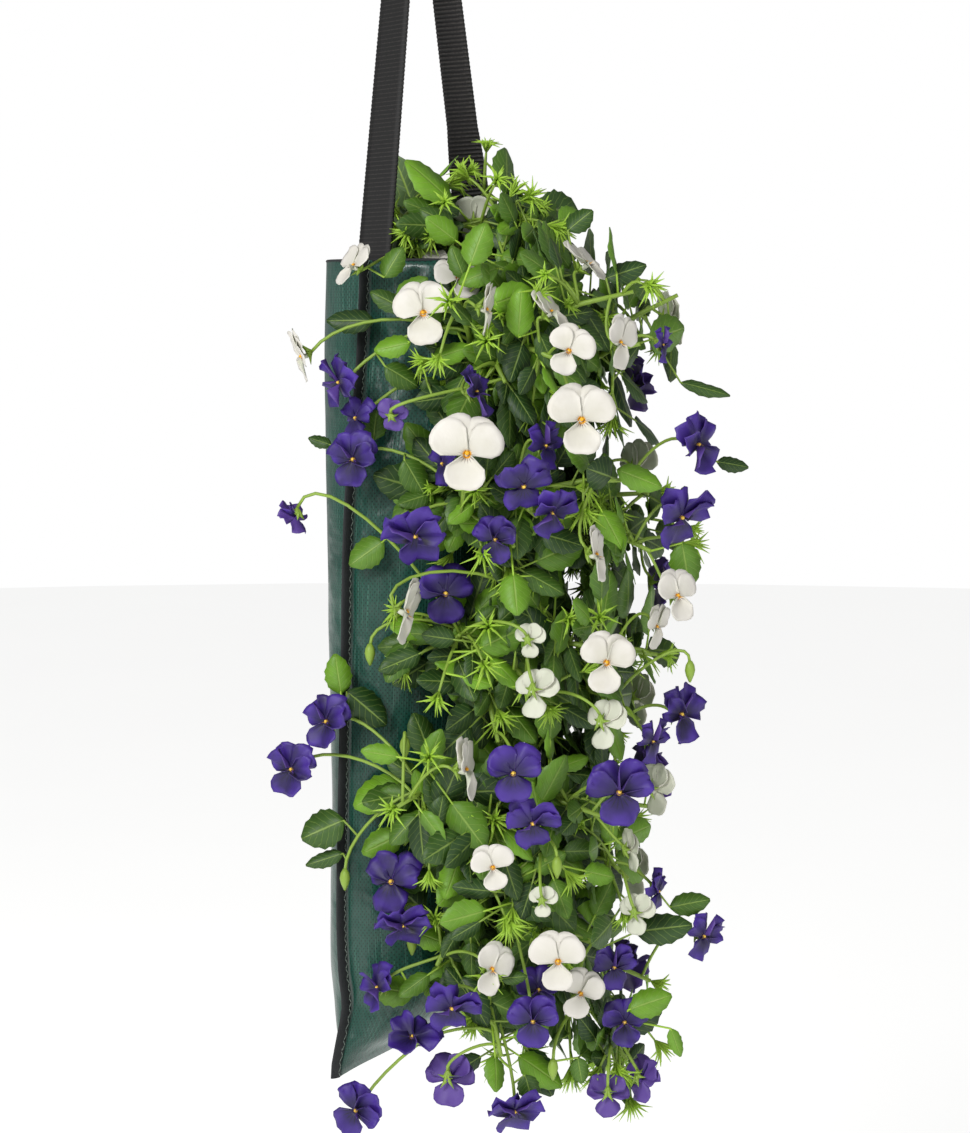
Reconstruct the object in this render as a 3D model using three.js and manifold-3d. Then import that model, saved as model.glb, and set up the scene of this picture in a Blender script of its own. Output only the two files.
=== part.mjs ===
import * as THREE from 'three';
import { mergeVertices } from 'three/addons/utils/BufferGeometryUtils.js';
import Module from 'manifold-3d';

// Hanging cloth bag planted all over its front with white and violet horned violets.
// Millimetres, +Z up, the bag's front towards -Y. The origin is where the strap bears on its hook.
// Everything below is measured from the bag's upright axis, and the whole is moved once, at the end.

const wasm = await Module();
wasm.setup();

// Bag
const RIM_Z = -245;
const BAG_HEIGHT = 474;
const CLOTH = 1.2;
const GAP = 0.35;
const PANEL_COLUMNS = 8;
const FOOT_RISE = 8;
const SOIL_TOP_Z = -272;
const SOIL_FOOT_ROW = 8;
const TAPE_DEPTH = 8.5;
const TAPE_THICKNESS = 2.6;

// The filled bag's section at each share of the way down: round at the open rim, sewn flat at the foot.
// The side seams are pinched in just above the two lower corners.
const BAG_STATIONS = [
  { down: 0, halfWidth: 57, halfDepth: 62 },
  { down: 0.12, halfWidth: 61, halfDepth: 60 },
  { down: 0.3, halfWidth: 73, halfDepth: 51 },
  { down: 0.5, halfWidth: 77, halfDepth: 45 },
  { down: 0.68, halfWidth: 80.5, halfDepth: 38.5 },
  { down: 0.8, halfWidth: 82, halfDepth: 40 },
  { down: 0.87, halfWidth: 80.5, halfDepth: 42 },
  { down: 0.915, halfWidth: 77.5, halfDepth: 41 },
  { down: 0.955, halfWidth: 83, halfDepth: 28 },
  { down: 0.985, halfWidth: 87.5, halfDepth: 6 },
  { down: 1, halfWidth: 88, halfDepth: 1.5 },
];

// Strap
const STRAP_WIDTH = 23;
const STRAP_THICKNESS = 1.6;
const STRAP_END_Z = -270;
const STRAP_RIM_X = 52.4;
const STRAP_SEAT_LENGTH = 10;
const STRAP_LEG_STEPS = 6;
const STRAP_SHOULDER_OUT = 2.6;
const STRAP_SHOULDER_Z = -3.4;
const STRAP_LEG_TWIST = 24;
const STRAP_TWIST_STEP = 1;
const HOOK = new THREE.Vector3(-3, 4, 0);
const HOOK_TURN = -16;

// Planting holes: two columns down the front panel, and two plants in the open top
const HOLE_ROWS = 5;
const HOLE_ACROSS = 30;
const FIRST_HOLE_DOWN = 0.13;
const HOLE_PITCH_DOWN = 0.178;
const RIGHT_COLUMN_DROP = 0.045;
const HOLE_RADIUS = 11;
const HOLE_SIDES = 8;
const SOIL_HOLE_RADIUS = 4.2;
const SOIL_HOLE_SIDES = 6;
const SOIL_HOLE_DEPTH = 24;
const HOLE_CUT_DEPTH = 12;
const CROWN_RADIUS = 3.2;
const CROWN_RISE = 7;
const CROWN_SIDES = 5;

// Stems, stalks, leaves and stipules
const STEM_RADIUS = 1.9;
const STEM_STEPS = 3;
const STEM_TRIES = 16;
const STEM_JITTER = { across: 16, up: 24 };
const STEM_BULGE = 8;
const STEM_ARCH = { least: 14, spread: 8 };
const STALK_RADIUS = 0.95;
const STALK_STEPS = 3;
const STALK_REACH = { least: 18, most: 125 };
const STALK_LIFTS = [0.25, 0.5, 0];
const STALK_PLACES = [0.26, 0.36, 0.46, 0.56, 0.66, 0.76, 0.86, 0.93];
const BLADE_THICKNESS = 1.6;
const PETIOLE_WIDTH = 1.8;
const PETIOLE_LENGTH = { least: 11, spread: 15 };
const LEAF_LENGTH = { least: 25, spread: 11 };
const LEAF_ASPECT = 0.72;
const LEAF_LEAN = { least: -0.1, spread: 0.55 };
const LEAF_ROLL = 1.1;
const LEAF_FOLD = 0.16;
const LEAF_DROOP = 3;
const LEAF_TRIES = 24;
const LEAF_PLACES = [0.9, 0.74, 0.58, 0.42, 0.3];
const LEAVES_PER_PLANT = 13;
const TUFT_BLADES = 5;
const TUFT_REACH = 15;
const TUFTS_PER_PLANT = 2;

// Clear room kept between foliage and its neighbours
const STEM_ROOM = 0.5;
const STALK_ROOM = 0.7;
const LEAF_ROOM = 5;

// The side that the flowers are set out from: to the left of the front, and a little above
const VIEW_AZIMUTH = THREE.MathUtils.degToRad(-55);
const VIEW_ELEVATION = THREE.MathUtils.degToRad(5.5);
const VIEW_DISTANCE = 1650;
const VIEW_FOCUS = 2750;
const VIEW_CENTRE = { col: 485, row: 566.5 };
const VIEW_ASIDE = 34;
const VIEW_Z = -427;

const UP = new THREE.Vector3(0, 0, 1);
const TO_RIGHT = new THREE.Vector3(Math.cos(VIEW_AZIMUTH), Math.sin(VIEW_AZIMUTH), 0);
const TO_VIEWER = new THREE.Vector3(Math.sin(VIEW_AZIMUTH), -Math.cos(VIEW_AZIMUTH), 0);

// Materials
const CLOTH_GREEN = new THREE.MeshStandardMaterial({ color: 0x1d5647, roughness: 0.55, metalness: 0 });
const TAPE_BLACK = new THREE.MeshStandardMaterial({ color: 0x16181a, roughness: 0.85, metalness: 0 });
const WEBBING_BLACK = new THREE.MeshStandardMaterial({ color: 0x1b1a1a, roughness: 0.8, metalness: 0 });
const SOIL_BROWN = new THREE.MeshStandardMaterial({ color: 0x2c2018, roughness: 1, metalness: 0 });
const LEAF_GREEN = new THREE.MeshStandardMaterial({ color: 0x4a7a22, roughness: 0.6, metalness: 0 });
const PETAL_WHITE = new THREE.MeshStandardMaterial({ color: 0xf1eee8, roughness: 0.7, metalness: 0 });
const PETAL_VIOLET = new THREE.MeshStandardMaterial({ color: 0x43259a, roughness: 0.7, metalness: 0 });

// Seeded draws

function seededDraws(seed) {
  let state = seed;
  return () => {
    state = (state * 16807) % 2147483647;
    return state / 2147483647;
  };
}

// Closed shapes

function vector(x, y, z) {
  return new THREE.Vector3(x, y, z);
}

function signedVolume(points, triangles) {
  let volume = 0;
  for (const [a, b, c] of triangles) {
    volume += points[a].dot(points[b].clone().cross(points[c]));
  }
  return volume;
}

function closedGeometry(points, triangles) {
  const outward = signedVolume(points, triangles) > 0;
  const ordered = triangles.map(([a, b, c]) => (outward ? [a, b, c] : [a, c, b]));
  const geometry = new THREE.BufferGeometry();
  const numbers = points.flatMap(({ x, y, z }) => [x, y, z]);
  geometry.setAttribute('position', new THREE.Float32BufferAttribute(numbers, 3));
  geometry.setIndex(ordered.flat());
  return geometry;
}

function gridTriangles(rows, columns, first, flipped) {
  const triangles = [];
  for (let row = 0; row < rows - 1; row += 1) {
    for (let column = 0; column < columns - 1; column += 1) {
      const a = first + row * columns + column;
      const b = a + 1;
      const c = a + columns + 1;
      const d = a + columns;
      triangles.push(flipped ? [a, c, b] : [a, b, c]);
      triangles.push(flipped ? [a, d, c] : [a, c, d]);
    }
  }
  return triangles;
}

// Two like grids, one behind the other, closed along their four borders
function shellBetween(outer, inner) {
  const rows = outer.length;
  const columns = outer[0].length;
  const count = rows * columns;
  const border = [];
  for (let column = 0; column < columns; column += 1) border.push(column);
  for (let row = 1; row < rows; row += 1) border.push(row * columns + columns - 1);
  for (let column = columns - 2; column >= 0; column -= 1) {
    border.push((rows - 1) * columns + column);
  }
  for (let row = rows - 2; row > 0; row -= 1) border.push(row * columns);
  const front = gridTriangles(rows, columns, 0, false);
  const triangles = [...front, ...gridTriangles(rows, columns, count, true)];
  border.forEach((a, i) => {
    const b = border[(i + 1) % border.length];
    triangles.push([b, a, a + count]);
    triangles.push([b, a + count, b + count]);
  });
  return closedGeometry([...outer.flat(), ...inner.flat()], triangles);
}

// Rings of equally many points, joined one to the next and closed at both ends
function loft(rings) {
  const sides = rings[0].length;
  const triangles = [];
  for (let ring = 0; ring < rings.length - 1; ring += 1) {
    for (let side = 0; side < sides; side += 1) {
      const a = ring * sides + side;
      const b = ring * sides + ((side + 1) % sides);
      triangles.push([a, b, b + sides]);
      triangles.push([a, b + sides, a + sides]);
    }
  }
  const last = (rings.length - 1) * sides;
  for (let side = 1; side < sides - 1; side += 1) {
    triangles.push([0, side + 1, side]);
    triangles.push([last, last + side, last + side + 1]);
  }
  return closedGeometry(rings.flat(), triangles);
}

// A thin shape that thins from its middle to its edge: two fans on one rim
function lens(rim, front, back) {
  const count = rim.length;
  const triangles = [];
  for (let a = 0; a < count; a += 1) {
    const b = (a + 1) % count;
    triangles.push([count, a, b], [count + 1, b, a]);
  }
  return closedGeometry([...rim, front, back], triangles);
}

function sidewaysOf(direction) {
  const reference = Math.abs(direction.z) > 0.9 ? vector(1, 0, 0) : UP;
  return reference.clone().cross(direction).normalize();
}

// A slim tube through a few points, its section turning as little as it can
function tube(points, radii, sides) {
  let across = null;
  const rings = points.map((point, i) => {
    const ahead = points[Math.min(i + 1, points.length - 1)];
    const behind = points[Math.max(i - 1, 0)];
    const along = ahead.clone().sub(behind).normalize();
    across = across
      ? across.addScaledVector(along, -across.dot(along)).normalize()
      : sidewaysOf(along);
    const other = along.clone().cross(across);
    return Array.from({ length: sides }, (_, side) => {
      const turn = (2 * Math.PI * side) / sides;
      return point.clone().addScaledVector(across, radii[i] * Math.cos(turn))
        .addScaledVector(other, radii[i] * Math.sin(turn));
    });
  });
  return loft(rings);
}

// Joining and cutting

function solidOf(geometry) {
  const bare = geometry.clone();
  bare.deleteAttribute('normal');
  bare.deleteAttribute('uv');
  const merged = mergeVertices(bare, 1e-4);
  return new wasm.Manifold(new wasm.Mesh({
    numProp: 3,
    vertProperties: new Float32Array(merged.attributes.position.array),
    triVerts: new Uint32Array(merged.index.array),
  }));
}

function geometryOf(solid) {
  const mesh = solid.getMesh();
  const geometry = new THREE.BufferGeometry();
  const numbers = Array.from(mesh.vertProperties);
  geometry.setAttribute('position', new THREE.Float32BufferAttribute(numbers, 3));
  geometry.setIndex(Array.from(mesh.triVerts));
  return geometry;
}

function joined(geometries) {
  return geometries.map(solidOf).reduce((whole, piece) => whole.add(piece));
}

function named(name, geometry, material) {
  const shown = geometry.index ? geometry.toNonIndexed() : geometry;
  shown.computeVertexNormals();
  const mesh = new THREE.Mesh(shown, material);
  mesh.name = name;
  return mesh;
}

// Bag

function bagSection(down) {
  const next = Math.max(1, BAG_STATIONS.findIndex((station) => station.down >= down));
  const above = BAG_STATIONS[next - 1];
  const below = BAG_STATIONS[next];
  const share = (down - above.down) / (below.down - above.down);
  return {
    halfWidth: THREE.MathUtils.lerp(above.halfWidth, below.halfWidth, share),
    halfDepth: THREE.MathUtils.lerp(above.halfDepth, below.halfDepth, share),
  };
}

function downAt(z) {
  return (RIM_Z - z) / BAG_HEIGHT;
}

// The foot's two corners hang a little lower than its middle
function bagZ(down, turn) {
  return RIM_Z - BAG_HEIGHT * down + FOOT_RISE * down ** 6 * Math.sin(turn) ** 2;
}

function panelPoint(down, turn, side, inset) {
  const { halfWidth, halfDepth } = bagSection(down);
  const x = (halfWidth - inset) * Math.cos(turn);
  const y = side * (GAP / 2 + (halfDepth - inset - GAP / 2) * Math.sin(turn));
  return vector(x, y, bagZ(down, turn));
}

// Both panels' columns run the same way round the bag as the soil's, so that all three split alike
function panelGrid(side, inset) {
  return BAG_STATIONS.map(({ down }) => Array.from({ length: PANEL_COLUMNS + 1 }, (_, column) => {
    const share = column / PANEL_COLUMNS;
    return panelPoint(down, Math.PI * (side > 0 ? share : 1 - share), side, inset);
  }));
}

function panel(side) {
  return shellBetween(panelGrid(side, 0), panelGrid(side, CLOTH));
}

function soilRing(down) {
  const inset = CLOTH + GAP;
  const { halfWidth, halfDepth } = bagSection(down);
  return Array.from({ length: 2 * PANEL_COLUMNS }, (_, column) => {
    const turn = (Math.PI * column) / PANEL_COLUMNS;
    const x = (halfWidth - inset) * Math.cos(turn);
    return vector(x, (halfDepth - inset) * Math.sin(turn), bagZ(down, turn));
  });
}

function soil() {
  const stations = BAG_STATIONS.slice(1, SOIL_FOOT_ROW + 1).map(({ down }) => down);
  return loft([downAt(SOIL_TOP_Z), ...stations].map(soilRing));
}

// The tape folded over the side seam stands out from the bag as a low fin
function seamTape(side) {
  const half = TAPE_THICKNESS / 2;
  return loft(BAG_STATIONS.map(({ down, halfWidth }) => {
    const inner = side * (halfWidth + GAP);
    const outer = side * (halfWidth + GAP + TAPE_DEPTH);
    const z = RIM_Z - BAG_HEIGHT * down;
    const corners = [[inner, -half], [outer, -half], [outer, half], [inner, half]];
    return corners.map(([x, y]) => vector(x, y, z));
  }));
}

// Strap: up from inside the rim, flat over the hook, and down to the other side

function strapStations() {
  const seat = STRAP_SEAT_LENGTH / 2;
  const top = STRAP_THICKNESS / 2;
  const turn = THREE.MathUtils.degToRad(HOOK_TURN);
  const along = vector(Math.cos(turn), Math.sin(turn), 0);
  const stations = [];
  for (const side of [-1, 1]) {
    const leg = [{ at: vector(side * STRAP_RIM_X, 0, STRAP_END_Z), turn: 0 }];
    const rim = vector(side * STRAP_RIM_X, 0, RIM_Z);
    const shoulder = HOOK.clone().addScaledVector(along, side * (seat + STRAP_SHOULDER_OUT));
    shoulder.setZ(STRAP_SHOULDER_Z);
    for (let step = 0; step <= STRAP_LEG_STEPS; step += 1) {
      const share = step / STRAP_LEG_STEPS;
      const twisted = side > 0 && step === STRAP_TWIST_STEP;
      const twist = twisted ? STRAP_LEG_TWIST : HOOK_TURN * share;
      leg.push({ at: rim.clone().lerp(shoulder, share), turn: twist });
    }
    leg.push({ at: HOOK.clone().addScaledVector(along, side * seat).setZ(top), turn: HOOK_TURN });
    stations.push(...(side < 0 ? leg : leg.reverse()));
  }
  return stations;
}

function strap() {
  const stations = strapStations();
  const half = STRAP_THICKNESS / 2;
  return loft(stations.map(({ at, turn }, i) => {
    const before = stations[Math.max(i - 1, 0)].at;
    const after = stations[Math.min(i + 1, stations.length - 1)].at;
    const arriving = i > 0 ? at.clone().sub(before).normalize() : after.clone().sub(at).normalize();
    const leaving = i < stations.length - 1 ? after.clone().sub(at).normalize() : arriving;
    const along = arriving.clone().add(leaving).normalize();
    const angle = THREE.MathUtils.degToRad(turn - 90);
    const across = vector(Math.cos(angle), Math.sin(angle), 0);
    across.addScaledVector(along, -across.dot(along)).normalize().multiplyScalar(STRAP_WIDTH / 2);
    const mitre = half / Math.max(0.5, along.dot(arriving));
    const through = along.clone().cross(across).normalize().multiplyScalar(mitre);
    return [
      at.clone().add(across).add(through),
      at.clone().sub(across).add(through),
      at.clone().sub(across).sub(through),
      at.clone().add(across).sub(through),
    ];
  }));
}

// Places seen from the viewing side. `near` is how far a thing stands out from the bag's axis.

function seenAt(col, row, near) {
  const tilt = VIEW_ELEVATION;
  const back = TO_VIEWER.clone().multiplyScalar(Math.cos(tilt)).addScaledVector(UP, Math.sin(tilt));
  const upright = TO_VIEWER.clone().multiplyScalar(-Math.sin(tilt)).addScaledVector(UP, Math.cos(tilt));
  const eye = TO_RIGHT.clone().multiplyScalar(VIEW_ASIDE).setZ(VIEW_Z).addScaledVector(back, VIEW_DISTANCE);
  const ray = back.clone().negate();
  ray.addScaledVector(TO_RIGHT, (col - VIEW_CENTRE.col) / VIEW_FOCUS);
  ray.addScaledVector(upright, (VIEW_CENTRE.row - row) / VIEW_FOCUS);
  const reach = (near - eye.dot(TO_VIEWER)) / ray.dot(TO_VIEWER);
  return eye.addScaledVector(ray, reach);
}

// Oriented boxes keep blooms, stems and leaves clear of each other

function boxAt(centre, axes, halves) {
  return { centre, axes, halves, radius: Math.hypot(...halves) };
}

function rodBox(from, to, radius) {
  const along = to.clone().sub(from);
  const length = along.length();
  along.normalize();
  const across = sidewaysOf(along);
  const centre = from.clone().add(to).multiplyScalar(0.5);
  return boxAt(centre, [along, across, along.clone().cross(across)], [length / 2 + radius, radius, radius]);
}

function boxesTouch(a, b) {
  const between = b.centre.clone().sub(a.centre);
  if (between.length() > a.radius + b.radius) return false;
  const directions = [...a.axes, ...b.axes];
  for (const p of a.axes) {
    for (const q of b.axes) {
      const square = p.clone().cross(q);
      if (square.lengthSq() > 1e-6) directions.push(square.normalize());
    }
  }
  const reach = (box, direction) => box.halves.reduce(
    (sum, half, i) => sum + half * Math.abs(box.axes[i].dot(direction)), 0);
  return directions.every((direction) =>
    Math.abs(between.dot(direction)) <= reach(a, direction) + reach(b, direction));
}

function inBag(point, margin) {
  const down = downAt(point.z);
  if (down < -0.02 || down > 1.02) return false;
  const { halfWidth, halfDepth } = bagSection(THREE.MathUtils.clamp(down, 0, 1));
  const within = (wide, deep) => (point.x / wide) ** 2 + (point.y / deep) ** 2 < 1;
  const overSoil = point.z > SOIL_TOP_Z + margin;
  const inMouth = overSoil && within(halfWidth - CLOTH - margin, halfDepth - CLOTH - margin);
  return within(halfWidth + TAPE_DEPTH + margin, halfDepth + margin) && !inMouth;
}

// Blooms

// The five petals of a bloom round its eye: x right, y up, z out of its face. The upper pair lies
// behind, the side petals stand forward with a step between them, and the lip curls at its edge.
const FACE_WIDTH = 34;
const FACE_HALVES = [17.6, 18.3, 3.4];
const EYE = [0, 0, -0.6];
const PETAL_EDGE = [
  [8, -6.5, 0.4], [16.5, -4, 2.4], [16, 5, 2.2],
  [13.5, 6.5, -1.6], [17, 12, -2.2], [8, 18, -3],
  [0, 14.5, -2.4],
  [-8, 18, -3], [-17, 12, -2.2], [-13.5, 6.5, -1.6],
  [-16, 5, 2.2], [-16.5, -4, 2.4], [-8, -6.5, 0.4],
  [-11, -12.5, 1.2], [0, -18.5, 2.6], [11, -12.5, 1.2],
];
const EYE_THICKNESS = 2;
const CALYX_BACK = 9;
const CALYX_RADIUS = 3;
const CALYX_SHORT = 2.2;
const SLIM_SHORT = 0.6;
const SLIM_STALK_UP = 5;

// Each bloom as it is seen: tint, place in the view, turn from the viewer, nod, roll, width of face.
// own: a node of its own. The others grow together with their plant.
const WHITE = 'white';
const VIOLET = 'violet';
const BLOOMS = [
  { tint: WHITE, col: 423, row: 313, near: 100, turn: -8, nod: 5, roll: -8, width: 33, own: true },
  { tint: WHITE, col: 467, row: 454, near: 136, turn: 0, nod: 8, roll: 6, width: 40, own: true },
  { tint: WHITE, col: 582, row: 420, near: 136, turn: 10, nod: 5, roll: 3, width: 36, own: true },
  { tint: WHITE, col: 569, row: 351, near: 122, turn: 5, nod: -5, roll: 25, width: 26, own: true },
  { tint: WHITE, col: 553, row: 311, near: 106, turn: 70, nod: 30, roll: 0, width: 27, own: true },
  { tint: WHITE, col: 622, row: 343, near: 100, turn: 55, nod: -10, roll: 10, width: 28, own: true },
  { tint: WHITE, col: 588, row: 262, near: 72, turn: 70, nod: 40, roll: 20, width: 30, own: true },
  { tint: WHITE, col: 488, row: 310, near: 118, turn: 82, nod: -15, roll: 0, width: 27, own: true },
  { tint: WHITE, col: 475, row: 220, near: 12, turn: 170, nod: 15, roll: 0, width: 27, own: true },
  { tint: WHITE, col: 352, row: 265, near: 80, turn: -60, nod: 25, roll: 0, width: 26, own: true },
  { tint: WHITE, col: 300, row: 357, near: 78, turn: -80, nod: -25, roll: 30, width: 28, own: true },
  { tint: WHITE, col: 432, row: 266, near: 44, turn: -25, nod: 35, roll: 30, width: 22, own: false },
  { tint: WHITE, col: 459, row: 277, near: 78, turn: 20, nod: 30, roll: -20, width: 26, own: false },
  { tint: WHITE, col: 408, row: 613, near: 118, turn: 72, nod: -20, roll: 30, width: 34, own: true },
  { tint: WHITE, col: 598, row: 555, near: 122, turn: 72, nod: 0, roll: 15, width: 29, own: false },
  { tint: WHITE, col: 679, row: 596, near: 88, turn: 35, nod: 5, roll: 0, width: 28, own: true },
  { tint: WHITE, col: 658, row: 627, near: 72, turn: 60, nod: -15, roll: 0, width: 24, own: false },
  { tint: WHITE, col: 607, row: 663, near: 124, turn: 12, nod: 0, roll: 10, width: 31, own: true },
  { tint: WHITE, col: 536, row: 694, near: 130, turn: 150, nod: -30, roll: 0, width: 26, own: false },
  { tint: WHITE, col: 605, row: 725, near: 118, turn: 140, nod: -25, roll: 0, width: 26, own: false },
  { tint: WHITE, col: 530, row: 641, near: 118, turn: 155, nod: -10, roll: 0, width: 18, own: false },
  { tint: WHITE, col: 468, row: 770, near: 132, turn: 78, nod: 0, roll: 10, width: 33, own: true },
  { tint: WHITE, col: 656, row: 790, near: 74, turn: 130, nod: -10, roll: 0, width: 28, own: false },
  { tint: WHITE, col: 493, row: 868, near: 126, turn: 10, nod: -5, roll: -10, width: 24, own: true },
  { tint: WHITE, col: 543, row: 902, near: 122, turn: 165, nod: -20, roll: 0, width: 16, own: false },
  { tint: WHITE, col: 493, row: 970, near: 124, turn: 35, nod: -8, roll: 30, width: 28, own: true },
  { tint: WHITE, col: 558, row: 962, near: 128, turn: -5, nod: 5, roll: 0, width: 31, own: true },
  { tint: WHITE, col: 581, row: 994, near: 108, turn: 15, nod: -5, roll: 20, width: 26, own: false },
  { tint: WHITE, col: 632, row: 850, near: 84, turn: 110, nod: 0, roll: 0, width: 23, own: false },
  { tint: WHITE, col: 637, row: 915, near: 88, turn: 150, nod: -20, roll: 0, width: 22, own: false },
  { tint: VIOLET, col: 337, row: 383, near: 84, turn: -65, nod: -20, roll: 40, width: 28, own: true },
  { tint: VIOLET, col: 354, row: 418, near: 82, turn: -50, nod: 10, roll: 0, width: 24, own: false },
  { tint: VIOLET, col: 352, row: 460, near: 88, turn: -30, nod: -10, roll: 0, width: 30, own: true },
  { tint: VIOLET, col: 393, row: 415, near: 100, turn: 165, nod: 15, roll: 0, width: 18, own: false },
  { tint: VIOLET, col: 295, row: 518, near: 84, turn: -130, nod: -45, roll: 0, width: 20, own: false },
  { tint: VIOLET, col: 478, row: 392, near: 122, turn: 72, nod: 10, roll: 0, width: 29, own: true },
  { tint: VIOLET, col: 441, row: 464, near: 104, turn: -60, nod: 0, roll: 0, width: 24, own: false },
  { tint: VIOLET, col: 547, row: 446, near: 108, turn: 60, nod: 10, roll: 0, width: 26, own: false },
  { tint: VIOLET, col: 524, row: 488, near: 136, turn: 10, nod: -35, roll: 0, width: 31, own: true },
  { tint: VIOLET, col: 553, row: 514, near: 122, turn: 30, nod: -45, roll: 10, width: 28, own: true },
  { tint: VIOLET, col: 495, row: 540, near: 116, turn: -20, nod: -10, roll: 0, width: 26, own: true },
  { tint: VIOLET, col: 415, row: 538, near: 112, turn: -10, nod: -50, roll: -8, width: 36, own: true },
  { tint: VIOLET, col: 446, row: 594, near: 92, turn: 10, nod: 5, roll: 0, width: 32, own: true },
  { tint: VIOLET, col: 700, row: 445, near: 74, turn: 55, nod: -5, roll: -15, width: 33, own: true },
  { tint: VIOLET, col: 683, row: 519, near: 80, turn: 45, nod: -35, roll: 0, width: 37, own: true },
  { tint: VIOLET, col: 325, row: 722, near: 88, turn: -40, nod: 5, roll: 0, width: 30, own: true },
  { tint: VIOLET, col: 290, row: 770, near: 84, turn: -35, nod: -5, roll: 10, width: 30, own: true },
  { tint: VIOLET, col: 513, row: 774, near: 138, turn: -10, nod: 0, roll: 0, width: 31, own: true },
  { tint: VIOLET, col: 533, row: 825, near: 128, turn: 5, nod: -30, roll: 0, width: 30, own: true },
  { tint: VIOLET, col: 620, row: 793, near: 116, turn: 15, nod: 0, roll: 0, width: 36, own: true },
  { tint: VIOLET, col: 683, row: 715, near: 74, turn: 45, nod: -5, roll: 0, width: 33, own: true },
  { tint: VIOLET, col: 654, row: 742, near: 92, turn: 60, nod: -10, roll: 0, width: 25, own: false },
  { tint: VIOLET, col: 390, row: 882, near: 98, turn: -30, nod: 10, roll: 0, width: 34, own: true },
  { tint: VIOLET, col: 403, row: 927, near: 104, turn: 0, nod: -55, roll: 0, width: 32, own: true },
  { tint: VIOLET, col: 664, row: 345, near: 66, turn: 75, nod: 0, roll: 0, width: 20, own: false },
  { tint: VIOLET, col: 660, row: 892, near: 66, turn: 65, nod: -10, roll: 0, width: 24, own: false },
  { tint: VIOLET, col: 705, row: 937, near: 62, turn: 50, nod: -10, roll: 20, width: 27, own: true },
  { tint: VIOLET, col: 376, row: 988, near: 94, turn: -60, nod: 0, roll: -15, width: 27, own: false },
  { tint: VIOLET, col: 452, row: 1010, near: 116, turn: 10, nod: -40, roll: 10, width: 32, own: true },
  { tint: VIOLET, col: 412, row: 1036, near: 104, turn: -15, nod: 50, roll: 25, width: 30, own: true },
  { tint: VIOLET, col: 450, row: 1080, near: 102, turn: 165, nod: -25, roll: 0, width: 29, own: false },
  { tint: VIOLET, col: 533, row: 1022, near: 118, turn: 0, nod: 5, roll: 0, width: 28, own: true },
  { tint: VIOLET, col: 539, row: 990, near: 96, turn: 15, nod: 10, roll: 0, width: 26, own: false },
  { tint: VIOLET, col: 615, row: 968, near: 92, turn: 30, nod: 0, roll: 0, width: 25, own: false },
  { tint: VIOLET, col: 625, row: 1023, near: 96, turn: 10, nod: -5, roll: 0, width: 26, own: true },
  { tint: VIOLET, col: 608, row: 1096, near: 96, turn: 175, nod: -35, roll: 0, width: 23, own: false },
  { tint: VIOLET, col: 643, row: 1080, near: 84, turn: 120, nod: -30, roll: 0, width: 25, own: false },
  { tint: VIOLET, col: 355, row: 1111, near: 92, turn: -20, nod: 0, roll: 35, width: 30, own: true },
  { tint: VIOLET, col: 515, row: 1113, near: 104, turn: 10, nod: -50, roll: 0, width: 32, own: false },
  { tint: WHITE, col: 672, row: 318, near: 2, turn: 110, nod: 10, roll: 0, width: 30, own: false },
  { tint: WHITE, col: 640, row: 470, near: -24, turn: 125, nod: 0, roll: 12, width: 33, own: false },
  { tint: WHITE, col: 640, row: 700, near: -22, turn: 120, nod: -10, roll: -10, width: 31, own: false },
  { tint: WHITE, col: 632, row: 870, near: -20, turn: 125, nod: 0, roll: 0, width: 32, own: false },
  { tint: VIOLET, col: 638, row: 385, near: -26, turn: 125, nod: 5, roll: -15, width: 32, own: false },
  { tint: VIOLET, col: 660, row: 585, near: -6, turn: 112, nod: -10, roll: 0, width: 32, own: false },
  { tint: VIOLET, col: 654, row: 772, near: -4, turn: 110, nod: 5, roll: 10, width: 33, own: false },
  { tint: VIOLET, col: 630, row: 968, near: -18, turn: 120, nod: -15, roll: 0, width: 30, own: false },
];

// Closed buds, each by its place in the view
const BUD_HALVES = [4, 4, 7];
const BUD_BASE_UP = 5;
const BUDS = [
  { col: 370, row: 655, near: 86 },
  { col: 405, row: 748, near: 108 },
  { col: 690, row: 672, near: 76 },
  { col: 345, row: 880, near: 86 },
  { col: 412, row: 945, near: 84 },
  { col: 557, row: 868, near: 118 },
  { col: 553, row: 1070, near: 108 },
];

function bloomFrame({ col, row, near, turn, nod, roll, width }) {
  const facing = TO_VIEWER.clone().multiplyScalar(Math.cos(THREE.MathUtils.degToRad(turn)))
    .addScaledVector(TO_RIGHT, Math.sin(THREE.MathUtils.degToRad(turn)))
    .multiplyScalar(Math.cos(THREE.MathUtils.degToRad(nod)))
    .addScaledVector(UP, Math.sin(THREE.MathUtils.degToRad(nod)));
  const upright = UP.clone().addScaledVector(facing, -facing.z).normalize();
  const aside = upright.clone().cross(facing);
  const angle = THREE.MathUtils.degToRad(roll);
  const up = upright.clone().multiplyScalar(Math.cos(angle)).addScaledVector(aside, Math.sin(angle));
  const right = aside.clone().multiplyScalar(Math.cos(angle)).addScaledVector(upright, -Math.sin(angle));
  return { centre: seenAt(col, row, near), right, up, facing, scale: width / FACE_WIDTH };
}

function onFace(frame, x, y, z) {
  return frame.centre.clone().addScaledVector(frame.right, x * frame.scale)
    .addScaledVector(frame.up, y * frame.scale).addScaledVector(frame.facing, z * frame.scale);
}

function bloomBox(frame) {
  const halves = FACE_HALVES.map((half) => half * frame.scale);
  return boxAt(onFace(frame, 0, -0.3, 0.2), [frame.right, frame.up, frame.facing], halves);
}

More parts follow.
